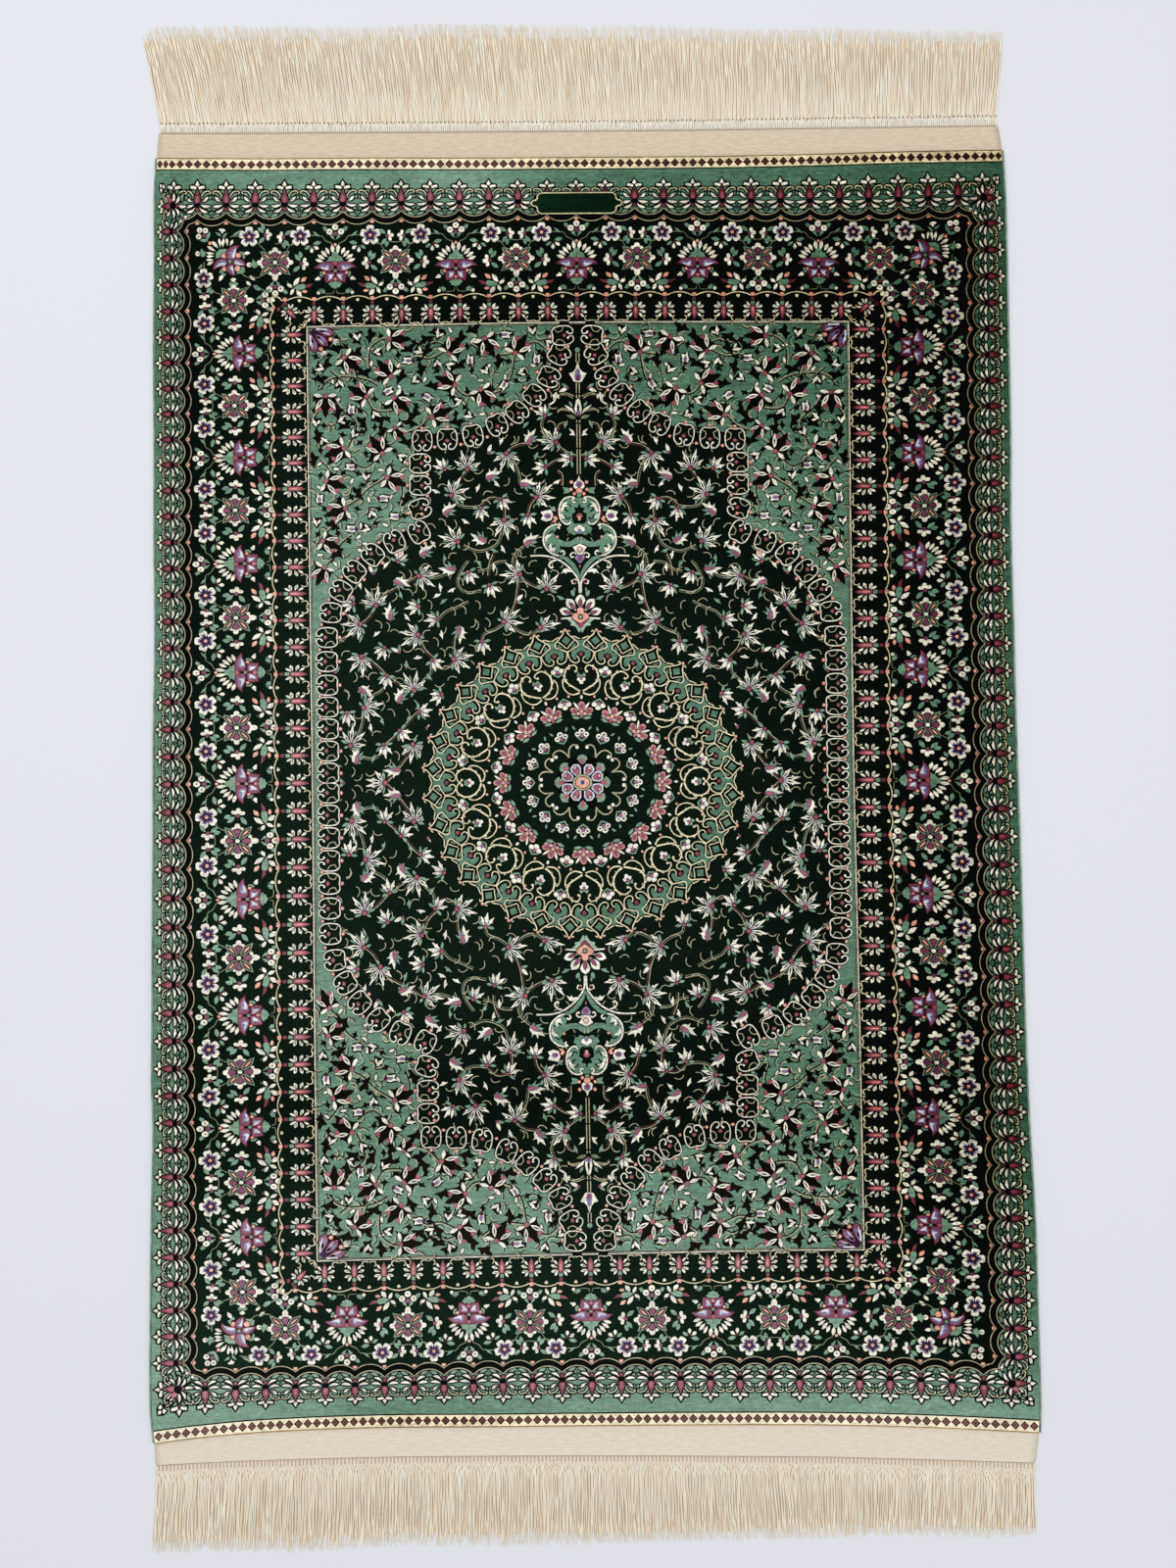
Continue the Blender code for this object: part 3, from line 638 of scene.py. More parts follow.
def spandrelLily(place):
    for side in (1, -1):
        patch = [3 + side * 2j, 5.6 + side * 5j, 8.4 + side * 9.6j, 3.6 + side * 9.2j, -0.6 + side * 11.6j, -1.4 + side * 5j]
        once(place, "moss", patch)
    once(place, "moss", [1.0 + 1.5j, 5 + 4.2j, 11 + 4.4j, 14.5 + 5.0j, 13.5 + 2.8j, 17 + 2.6j, 21.5, 17 - 2.6j, 13.5 - 2.8j,
                         14.5 - 5j, 11 - 4.4j, 5 - 4.2j, 1 - 1.5j])
    for side in (1, -1):
        hollowPetal(spotIn(place, 2.5 + side * 2.6j, 31 * side), 13.5, 3.9)
        once(place, "ivory", moved(spot( 0.4 + side * 1.8j, 101 * side), leaf(9.6, 3.7, 0.55)), "moss", 0.5)
        once(place, "rose", disc(2.1, 13 + side * 5.6j, 8), "bark", 0.35)
    once(place, "rose", disc(2.2, 0, 8), "bark", 0.5)


def spandrelBud(place):
    once(place, "moss", [-5.6, -2 + 4.2j, 1.4 + 4.6j, 8.4 + 2.6j, 6.6 + 0.6j, 6.4 - 4.6j, -1 - 4.6j])
    once(place, "ivory", [-2.6 + 2.4j, 0.6 + 3.4j, 4.2 + 2.2j, 8.0 + 2.2j, 4.4 + 0.2j, 5.6 - 3.4j, 1.4 - 2.8j, -2.2 - 2.8j])
    once(place, "lilac", [-2.2 + 0.9j, 1.6 + 1.3j, 3.6 - 0.2j, 1.0 - 1.2j, -2.2 - 1.1j], "plum", 0.3)
    once(place, "claret", disc(1.4, -3.2, 6))


def twoPetals(place):
    once(place, "moss", [-4.6, -0.8 + 3.4j, 5.8 + 5.8j, 6.0 + 1.4j, 6.4 - 5.4j, -0.5 - 3.2j])
    once(place, "ivory", moved(spot(-2.4, 24), flame(9.6, 2.7)))
    once(place, "ivory", moved(spot(-0.6, -34), leaf(5.8, 2.3, 0.6)))


def hook(place, length=6.0, yarn="mist"):  # a short curl of vine with its dark side
    once(place, "moss", ribbon([length * z for z in (0.06 - 0.12j, 0.55 - 0.1j, 1.0 + 0.14j, 1.16 + 0.64j)], 1.2, 0.8))
    once(place, yarn, ribbon([length * z for z in (0j, 0.5 + 0.08j, 0.86 + 0.3j, 0.98 + 0.66j, 0.78 + 0.9j)], 0.95))


def smallLeaf(place):
    once(place, "moss", [-4.8 + 0.2j, -2.0 + 1.7j, -0.6 + 3.8j, 0.8 + 1.6j, 5.2 + 0.8j, 1.2 - 1.0j, 0.0 - 3.0j, -1.4 - 1.1j])


def ivoryTip(place):
    once(place, "ivory", leaf(6.6, 2.7, 0.45), "moss", 0.8)


def vine(knots, dark="moss", light="stone"):  # a dark stem with a pale one beside it
    path = smooth(knots, 4)
    lay(dark, ribbon(path, 1.4))
    shifted = []
    for i, z in enumerate(path):
        run = path[min(i + 1, len(path) - 1)] - path[max(i - 1, 0)]
        shifted.append(z + 1j * run / (abs(run) or 1) * 1.1)
    lay(light, ribbon(shifted, 0.9))


def freeSpots(inside, apart, taken, gap, seed):  # a seeded scatter over what the larger motifs leave free
    draw = random.Random(seed)
    low = complex(min(z.real for z in inside), min(z.imag for z in inside))
    high = complex(max(z.real for z in inside), max(z.imag for z in inside))
    chosen = []
    for k in range(6000):
        at = complex(draw.uniform(low.real, high.real), draw.uniform(low.imag, high.imag))
        turn = draw.uniform(0, 360)
        if not within(inside, at) or any(abs(at - other) < gap for other in taken):
            continue
        if any(abs(at - other) < apart for other, heading in chosen):
            continue
        chosen.append((at, turn))
    return chosen


def within(outline, at):
    odd = False
    for a, b in zip(outline, outline[1:] + outline[:1]):
        if (a.imag > at.imag) != (b.imag > at.imag):
            if at.real < a.real + (at.imag - a.imag) / (b.imag - a.imag) * (b.real - a.real):
                odd = not odd
    return odd


bandUnits = (  # the scroll band round the field: centre of each unit and the heading of its rose heart
    (-238, -11.1, 180), (-238, 8.9, 180), (-238, 28.9, 180), (-238, 48.9, 180), (-238, 68.9, 180), (-238, 88.9, 180),
    (-238, 110.6, 180), (-237.6, 132.8, 180), (-233.7, 156, 175), (-224, 176.7, 150), (-211, 195, 140),
    (-193.7, 210.6, 140), (-173, 223.3, 115), (-150, 232, 118), (-147, 253.3, 20), (-146.4, 275, 0), (-146.4, 296, 0),
    (-145.3, 316.7, -90), (-122, 317.8, -90), (-97.8, 321, -80), (-75, 331, -65), (-55.6, 343.3, -45), (-39.4, 359, -40),
    (-25.6, 376.7, -25), (-16, 397.8, -30), (-12.4, 416.7, 5),
)
bandPath = [complex(u, v) for u, v, heading in bandUnits]
fieldOutline = [complex(-238, 0)] + bandPath[2:] + [complex(-12, 427.6), complex(0, 427.6), 0j]


def bandUnit(place):
    outer = smooth([7.6 + 1.2j, 8.4 + 5.2j, 5.4 + 8.2j, 1.0 + 9.5j, -5 + 9.3j, -9.4 + 8.0j, -11.4 + 4.8j, -11.2 + 0j], 2)
    once(place, "night", outer + [z.conjugate() for z in outer[::-1][1:]], "ink", 1.0)
    twice(place, "ivory", ribbon(smooth([3.0 + 3.0j, 4.6 + 1.4j, 7.8 + 1.4j, 8.4 + 5.0j, 5.4 + 8.0j, 1.0 + 9.1j,
                                         -5 + 8.9j, -9.2 + 7.6j,
                                         -11.0 + 4.6j, -10.4 + 0j], 3), 1.0))
    twice(place, "stone", ribbon(smooth([0.6 + 8.6j, -1.0 + 5.6j, -2.4 + 4.2j, -6.4 + 3.6j, -7.4 + 5.6j,
                                         -9.2 + 7.0j], 2), 0.75))
    twice(place, "ivory", disc(1.1, 3.4 + 2.8j, 6))
    once(place, "rose", [1.8 + 0j, 0.2 + 1.8j, -1.4 + 0j, 0.2 - 1.8j], "brick", 0.4)
    once(place, "peach", disc(1.5, -13.0, 6), "brick", 0.5)


def scrollBand():
    lay("ink", ribbon([complex(-238, -12)] + bandPath[1:] + [-12 + 430j], 9))
    for k, (u, v, heading) in enumerate(bandUnits):
        bandUnit(spot(complex(u, v), heading))
    for k, (u, v, heading) in enumerate(bandUnits[:-1]):
        nextU, nextV, nextHeading = bandUnits[k + 1]
        middle = (complex(u, v) + complex(nextU, nextV)) / 2
        between = turned(heading) + turned(nextHeading)
        if abs(between) > 0.6:
            lay("peach", disc(1.5, middle + 5.6 * between / abs(between), 7), "ink", 0.6)


def cornerFlower():  # a quarter of a large flower in the field's corner, inside its lines
    place = spot(-249 + 427j, -45)
    once(place, "moss", [3, 9 + 12j, 17 + 12j, 24 + 7j, 26, 24 - 7j, 17 - 12j, 9 - 12j])
    for turnBy, length, yarn in ((-33, 21, "mauve"), (33, 21, "mauve"), (0, 21, "mauve")):
        once(place, yarn, moved(spot(0, turnBy), leaf(length, 8.4, 0.66, start=3)), "ink", 0.8)
        once(place, "lilac", moved(spot(0, turnBy + 4), leaf(length * 0.66, 3.4, 0.6, start=7)))
        once(place, "ink", moved(spot(0, turnBy), leaf(length * 0.3, 2.2, 0.5, start=9)))
        once(place, "milk", moved(spot(0, turnBy - 5), leaf(length * 0.4, 1.3, 0.5, start=12)))
    for turnBy in (-17, 17):
        once(place, "peach", disc(2.0, turned(turnBy) * 22, 7), "claret", 0.5)
        for spread in (-30, 0, 30):
            once(place, "ivory", moved(spot(turned(turnBy) * 24, turnBy + spread), leaf(6.0, 2.0, 0.5)), "moss", 0.5)
    once(place, "plum", disc(3.2, 5.4, 8))
    twice(place, "milk", ribbon([4.5 + 4.0j, 12 + 11.0j], 1.6))


def spandrels():
    taken = [complex(u, v) + turned(heading) * 8 * size for u, v, heading, size in lilies]
    taken += [complex(u, v) + turned(heading) * 16 * size for u, v, heading, size in lilies]
    taken += [complex(u, v) for u, v, heading, size in lilies]
    small = [complex(u, v) for u, v, heading in spandrelBuds + spandrelSprigs + darkLeaves]
    for at, turn in freeSpots(box(-249, -2, 190, 427), 7.6, taken, 6.4, 11):
        if min(abs(at - other) for other in small) < 3.4:
            continue
        hook(spot(at, turn, 1, 1, turn > 180), 5.4 + (turn % 30) / 14, "stone" if turn % 3 < 2 else "mist")
    for at, turn in freeSpots(box(-246, -2, 190, 421), 10.5, taken + small, 7.2, 12):
        if not within(fieldOutline, at):
            (ivoryTip if turn % 9 < 3 else smallLeaf)(spot(at, turn))
    for knots in (
        ((-240, 368), (-233, 376), (-222, 380), (-205, 379), (-194, 376), (-186, 371)),
        ((-193, 384), (-194, 400), (-190, 410), (-180, 416), (-174, 414)), ((-230, 386), (-222, 379)),
        ((-160, 392), (-150, 398), (-138, 396), (-124, 402)), ((-126, 376), (-118, 384), (-112, 371)),
        ((-228, 362), (-221, 350), (-212, 342), (-206, 332), (-214, 312)), ((-196, 358), (-190, 348), (-178, 346), (-160, 350)),
        ((-170, 330), (-160, 326), (-148, 330), (-138, 340)), ((-100, 410), (-88, 402), (-76, 398), (-60, 400)),
        ((-92, 364), (-80, 362), (-70, 366), (-62, 378), (-58, 398)), ((-240, 300), (-232, 290), (-236, 282)),
        ((-216, 256), (-206, 262), (-196, 272), (-180, 282)), ((-182, 308), (-190, 298), (-200, 292), (-214, 300)),
        ((-240, 226), (-232, 234), (-224, 240), (-218, 252)), ((-236, 200), (-228, 208), (-222, 220), (-212, 228)),
        ((-116, 372), (-108, 362), (-98, 360), (-92, 364)), ((-246, 340), (-240, 350), (-236, 360)),
        ((-178, 284), (-168, 280), (-164, 270), (-168, 256)), ((-150, 412), (-140, 408), (-132, 412), (-122, 408)),
        ((-60, 402), (-48, 408), (-38, 410), (-30, 404)), ((-205, 379), (-208, 388), (-214, 396)),
    ):
        vine([complex(*pair) for pair in knots])
    for u, v, heading in darkLeaves:
        darkLeaf(spot(complex(u, v), heading))
    for u, v, heading in spandrelSprigs:
        twoPetals(spot(complex(u, v), heading))
    for u, v, heading in spandrelBuds:
        spandrelBud(spot(complex(u, v), heading))
    for u, v, heading, size in lilies:
        spandrelLily(spot(complex(u, v), heading, size))
    cornerFlower()


# ---- the field: pale lilies, tulips and buds on long vines

fieldLilies = (
    (-104, 290, 75), (-119, 266, 30), (-113.5, 221.5, 130), (-70, 242, -110), (-67, 305, -100), (-40, 264, 5),
    (-56, 191, 150), (-150, 190, -25), (-190.5, 162.5, 90), (-205, 145, 190), (-204, 115, 240), (-151.5, 135, 180),
    (-156, 84, 90), (-203, 68.5, -20), (-216, 34, 50), (-157.5, 35, -90), (-184, 0, 180), (-71.5, 147.5, 5),
    (-37.5, 142.3, -20), (-118.5, 113, -20), (-21, 315, 140), (-31.5, 177.5, 60),
)
tulips = (
    (-124.5, 290, 120), (-92, 253.5, -90), (-73.5, 262, -60), (-48, 247, -90), (-104.5, 193.5, -70), (-84.5, 181.5, -75),
    (-181, 98, -110), (-150.5, 161.5, 180), (-183, 123.5, -130), (-133, 150, 180), (-218.7, 64, -90), (-139, 112, -50),
    (-130, 80.5, 200), (-152, 64.5, 0), (-211, 164, 180), (-185, 35, -90), (-170, 47.5, -50), (-92, 129.5, -90),
    (-30.5, 292, 180), (-6.7, 299.5, 180), (-31, 340, 110), (-169, 203, 60),
)
buds = (
    (-86.7, 280.6, 25), (-55.6, 275.6, 0), (-126.7, 246.7, 40), (-86.5, 221, 150), (-52, 218, 35), (-115, 195.7, 175),
    (-148.7, 207.8, 40), (-174, 185.6, -20), (-177, 148, 90), (-207.6, 86.7, -35), (-171.5, 72, 65), (-211, 16.5, 80),
    (-169, 11.5, 180), (-113, 144, -90), (-48, 313, 60),
)
smallBuds = (
    (-192.6, 191.7, 90), (-168.7, 119, 130), (-145.3, 49.8, 0), (-56, 133, -60), (-84.4, 305, 45), (-9, 366.7, 180),
    (-222, 0, 180), (-60, 166, 20), (-229, 100, 90),
)
ivorySprigs = (
    (-86.7, 211, -85), (-80.6, 200, -100), (-94.4, 270, 60), (-75, 275, 120), (-131, 269, 150), (-19, 279, 200),
    (-181.4, 198, 45), (-204, 179.5, 90), (-135, 170, 20), (-191.4, 134.4, 30), (-128.7, 133.3, 90), (-154, 113.3, 0),
    (-196, 48, 90), (-22, 357, 60), (-72, 314.5, 60), (-70, 213, 110), (-118, 178, 200), (-131, 181, -90), (-138, 221, -60),
    (-160, 150, 120), (-213, 50, 60), (-104, 240, 140),
)
greenSprigs = (
    (-95.6, 203, -60), (-128.7, 164.5, 30), (-162.6, 105.6, 80), (-185, 54.5, 100), (-162, 56, 40), (-77.4, 213, 150),
    (-126.5, 208, -100), (-40, 300, 60), (-108, 258, 90), (-195, 20, 60), (-140, 95, 120), (-60, 290, 120), (-50, 330, 40),
    (-12, 330, 60), (-205, 130, 60), (-166, 170, 100), (-6, 173, 70), (-16, 169, 150),
)


def flame(length, width):  # a ragged petal
    return [0j, length * 0.22 + width * 0.34j, length * 0.5 + width * 0.5j, length * 0.6 + width * 0.86j,
            length * 0.66 + width * 0.4j,
            length * 0.84 + width * 0.3j, length, length * 0.74 - width * 0.26j, length * 0.5 - width * 0.56j,
            length * 0.22 - width * 0.4j]


def slit(length, width):  # the darker yarn inside a petal
    return [length * 0.14, length * 0.4 + width * 0.24j, length * 0.68 + width * 0.06j, length * 0.42 - width * 0.24j]


def fieldLily(place):
    for hold, turnBy, length, width in ((1.0 - 1.6j, -84, 8.8, 3.0), (0.8 + 2.2j, 112, 8.0, 3.2), (4 - 0.6j, -28, 9.6, 2.0),
                                        (5 + 2.0j, 12, 9.6, 2.0), (4 + 3.6j, 50, 9.0, 2.2), (-1.6 + 0.6j, 150, 5.0, 2.4)):
        once(place, "leaf", moved(spot(hold, turnBy), leaf(length, width, 0.5)))
    for turnBy, length, width in ((-48, 13.5, 3.3), (-9, 17.5, 3.3), (31, 18.5, 3.3), (69, 13.5, 3.0)):
        petal = spot(1.2 * turned(turnBy), turnBy, 1, 1, turnBy < 20)
        once(place, "ivory", moved(petal, flame(length, width)), "ink", 0.8)
        once(place, "night", moved(petal, slit(length, width)))
        once(place, "lilac", moved(petal, leaf(length * 0.24, 1.4, 0.5, start=1.4)))
    once(place, "brick", disc(2.4, 0.2 - 0.3j, 7), "ink", 0.5)
    once(place, "rose", disc(1.3, -0.3 - 0.4j, 6))


def tulip(place):
    for hold, turnBy, length, width in ((0.2 + 1.2j, 98, 7.4, 2.7), (0.2 - 1.2j, -92, 6.4, 2.7), (1.6 - 2.0j, -44, 7.4, 2.4)):
        once(place, "leaf", moved(spot(hold, turnBy), leaf(length, width, 0.55)))
    for turnBy, length, width in ((-22, 11.0, 3.0), (43, 12.0, 3.0), (10, 13.4, 3.2)):
        petal = spot(0.4 + 0j, turnBy, 1, 1, turnBy < 20)
        once(place, "ivory", moved(petal, flame(length, width)), "ink", 0.7)
    once(place, "lilac", [0.6 + 1.4j, 4.4 + 1.2j, 5.4, 4.2 - 0.8j, 0.6 - 1.4j])
    once(place, "brick", disc(1.9, 0.2, 7), "ink", 0.4)
    once(place, "rose", disc(1.0, -0.2, 6))


def wingedBud(place):
    once(place, "leaf", [0.5 - 0.8j, 2.0 - 4.4j, 3.8 - 2.6j, 8.6 - 7.6j, 7.2 - 3.2j, 12.8 - 5.0j, 9.4 - 1.0j, 4 - 0.6j])
    once(place, "ivory", [0.3 + 0.4j, 2.5 + 4j, 6.0 + 5.0j, 7.2 + 7.8j, 7.4 + 4.4j, 9.6 + 4.0j, 12.9 + 6.0j,
                          11.4 + 2.6j, 17.4 + 0.2j,
                          10 - 1.4j, 5 + 0.8j], "ink", 0.4)
    once(place, "lilac", [-0.4, 2.4 + 1.7j, 7.4 + 1.2j, 11.5 - 0.6j, 7 - 2.2j, 2.4 - 2.2j], "ink", 0.4)
    once(place, "rose", [0.2 - 0.2j, 2.6 + 1.0j, 6.2 + 0.6j, 8.8 - 0.6j, 6.2 - 1.5j, 2.6 - 1.6j], "brick", 0.3)


def smallBud(place):
    once(place, "leaf", moved(spot( 0, -34), leaf(7.4, 2.8, 0.5)))
    once(place, "ivory", moved(spot( 0, 24), leaf(9.4, 3.4, 0.5)))
    once(place, "mauve", disc(1.7, 0.8, 6))


def sprigPair(place, yarn="ivory"):
    once(place, yarn, moved(spot( -2.5, 8), leaf(9, 2.3, 0.55)))
    once(place, yarn, moved(spot( -0.6, 42), leaf(4.4, 1.5, 0.55)))


fieldVines = (
    ((-238, 120), (-226, 128), (-212, 138), (-205, 145)), ((-204, 145), (-196, 152), (-190.5, 162)),
    ((-190, 165), (-182, 172), (-172, 178), (-160, 184), (-150, 190)), ((-150, 190), (-138, 188), (-128, 190), (-118, 196)),
    ((-108, 218), (-98, 213.5), (-90, 213), (-80, 217), (-74, 224), (-70, 242)), ((-104, 204), (-110, 196), (-114, 186),
    (-112, 178), (-104, 174), (-92, 176)), ((-112, 142), (-118, 130), (-118.5, 113)), ((-118, 110), (-128, 104), (-139, 108)),
    ((-151, 135), (-146, 122), (-138, 114)), ((-156, 84), (-148, 92), (-140, 100), (-139, 110)), ((-203, 115), (-192, 108),
    (-182, 98)), ((-180, 96), (-170, 90), (-160, 86)), ((-203, 68), (-196, 78), (-186, 84), (-178, 94)),
    ((-216, 34), (-208, 44), (-204, 56), (-203, 68)), ((-216, 32), (-206, 24), (-194, 22), (-184, 30)), ((-184, 34), (-174, 42),
    (-166, 50), (-157, 60), (-152, 64)), ((-157, 35), (-162, 26), (-168, 18), (-176, 8), (-184, 0)),
    ((-119, 266), (-114, 276), (-104, 288)), ((-119, 264), (-112, 256), (-102, 254), (-92, 255)), ((-91, 256), (-84, 262),
    (-76, 262), (-70, 256), (-70, 244)), ((-67, 305), (-60, 296), (-56, 286), (-55, 277)), ((-40, 264), (-46, 256), (-48, 248)),
    ((-67, 306), (-58, 312), (-48, 314)), ((-56, 191), (-62, 200), (-60, 210), (-52, 217)), ((-71, 147), (-64, 156), (-60, 166),
    (-58, 178), (-56, 190)), ((-71, 146), (-80, 140), (-90, 136), (-92, 130)), ((-37, 142), (-46, 136), (-56, 138), (-64, 144)),
    ((-21, 315), (-30, 322), (-34, 332), (-31, 340)), ((-21, 313), (-12, 306), (-3, 302)), ((-30, 292), (-20, 298), (-10, 300)),
    ((-85, 190), (-84, 200), (-80, 210)), ((-95, 194), (-86, 196), (-78, 202), (-68, 203)), ((-133, 148), (-126, 156),
    (-116, 160), (-104, 166)), ((-36, 178), (-46, 182), (-54, 188)), ((-22, 357), (-12, 361), (-4, 358)),
    ((-19, 344), (-14, 346.5), (-8, 345)), ((-19, 322), (-18, 331), (-12, 333.5)), ((-20, 288), (-16, 284), (-16, 274)),
)


def field():
    lay("night", fieldOutline)
    for knots in fieldVines:
        path = smooth([complex(*pair) for pair in knots], 3)
        sideways = []
        for i, z in enumerate(path):
            run = path[min(i + 1, len(path) - 1)] - path[max(i - 1, 0)]
            sideways.append(0.9j * run / (abs(run) or 1))
        lay("stone", ribbon([z + way for z, way in zip(path, sideways)], 0.7))
        lay("cocoa" if len(knots) % 2 else "olive", ribbon([z - way for z, way in zip(path, sideways)], 0.55))
    taken = [complex(u, v) + turned(heading) * 7 for u, v, heading in fieldLilies + tulips + buds]
    taken += [complex(u, v) for u, v, heading in fieldLilies + tulips + buds + smallBuds + ivorySprigs + greenSprigs]
    taken += bandPath
    for at, turn in freeSpots(fieldOutline, 9.5, taken, 8.6, 23):
        if abs(complex(at.real / 154, at.imag / 143)) < 1 or at.real > -14:
            continue
        curl = [0j, 2.6 + 0.2j, 5.0 + 1.2j, 6.6 + 3.6j, 6.2 + 6.2j]
        lay("stone", ribbon([at + turned(turn) * (z if turn < 180 else z.conjugate()) for z in curl], 0.7))
    for u, v, heading in greenSprigs:
        sprigPair(spot(complex(u, v), heading), "leaf")
    for u, v, heading in ivorySprigs:
        sprigPair(spot(complex(u, v), heading))
    for u, v, heading in smallBuds:
        smallBud(spot(complex(u, v), heading))
    for u, v, heading in buds:
        wingedBud(spot(complex(u, v), heading))
    for u, v, heading in tulips:
        tulip(spot(complex(u, v), heading))
    for u, v, heading in fieldLilies:
        fieldLily(spot(complex(u, v), heading))


# ---- the ornaments on the middle line, from the field's point down to the medallion

def axisOrnaments():
    # stems, with a bead where each flower's leaves clasp them
    for low, high in ((285, 336), (357, 373), (391, 401)):
        lay("ink", box(-2.6, 2.6, low, high))
        lay("stone", box(-1.8, -0.9, low, high))
    lay("ink", box(-0.4, 0.4, 285, 400))
    lay("leaf", disc(2.5, 402.6j, 8), "ink", 0.7)
    for v in (386, 361, 345, 333, 309):
        lay("ink", disc(0.9, -1.6 + v * 1j, 6))
    # upper bud
    lay("ivory", [0 + 392j, -1.8 + 385j, -4.4 + 381.6j, -8.2 + 380.5j, -5.6 + 376j, -3.6 + 372.6j, 0 + 372j], "ink", 0.7)
    lay("lilac", [0 + 385j, -2.0 + 383.5j, -2.9 + 378j, -2.4 + 373.4j, 0 + 373j])
    lay("mauve", [0 + 379j, -1.7 + 377j, -1.6 + 373.6j, 0 + 373.2j])
    # second bud, with its leaves
    lay("ivory", [0 + 357j, -1.8 + 354.6j, -3.3 + 347j, -2.6 + 341j, 0 + 340.6j], "ink", 0.7)
    lay("night", [0 + 353j, -1.1 + 349j, -1.0 + 344.6j, 0 + 344j])
    lay("lilac", [0 + 344.6j, -2.2 + 344j, -2.5 + 341j, 0 + 340j])
    lay("mauve", [0 + 342.4j, -1.5 + 342j, -1.3 + 339.6j, 0 + 339.4j])
    lay("ivory", [-3.4 + 342j, -5.4 + 347j, -12.6 + 350.6j, -9.4 + 346.6j], "ink", 0.5)
    lay("leaf", [-5.0 + 348.6j, -5.6 + 352j, -8.6 + 354j, -7.8 + 350j])
    lay("olive", [-3.0 + 339.6j, -6 + 341j, -11.4 + 340.6j, -7 + 337.4j, -2.4 + 337.2j], "ink", 0.4)
    lay("stone", ribbon(smooth([-19 + 343j, -17 + 346j, -12 + 345.6j, -7 + 344.6j], 3), 0.8))
    lay("ivory", [-3.2 + 321j, -4.6 + 326j, -8.8 + 328.2j, -6.2 + 324j, -8.6 + 322j, -4.6 + 321.6j], "ink", 0.5)
    lay("ivory", ribbon(smooth([-26.5 + 351j, -22 + 354j, -20.5 + 358.5j, -18.5 + 360.5j], 3), 1.6), "ink", 0.4)
    lay("stone", ribbon(smooth([-15 + 360.4j, -9 + 359.6j, -5 + 356.6j], 3), 0.8))
    lay("ivory", moved(spot(-18 + 356j, 100), leaf(5, 2, 0.5)))
    # cup flower
    lay("ivory", [0 + 284j, -1.4 + 279.4j, -4.4 + 277j, -5.2 + 273j, -3 + 270.6j, 0 + 270j], "ink", 0.7)
    lay("lilac", disc(3.3, 275.4j, 10))
    lay("mauve", disc(2.1, 275j, 8))
    for at in (-7 + 277.4j, -7.4 + 270.4j, -4.4 + 266.6j):
        lay("peach", disc(1.6, at, 7), "claret", 0.5)
    lay("leaf", [-8.6 + 267.6j, -9.6 + 272j, -15.4 + 272.6j, -13.6 + 269.4j, -14.6 + 266.4j], "ink", 0.3)
    lay("peach", disc(2.9, 269j, 9), "claret", 0.6)
    lay("leaf", disc(2.0, 264.8j, 8), "ink", 0.5)


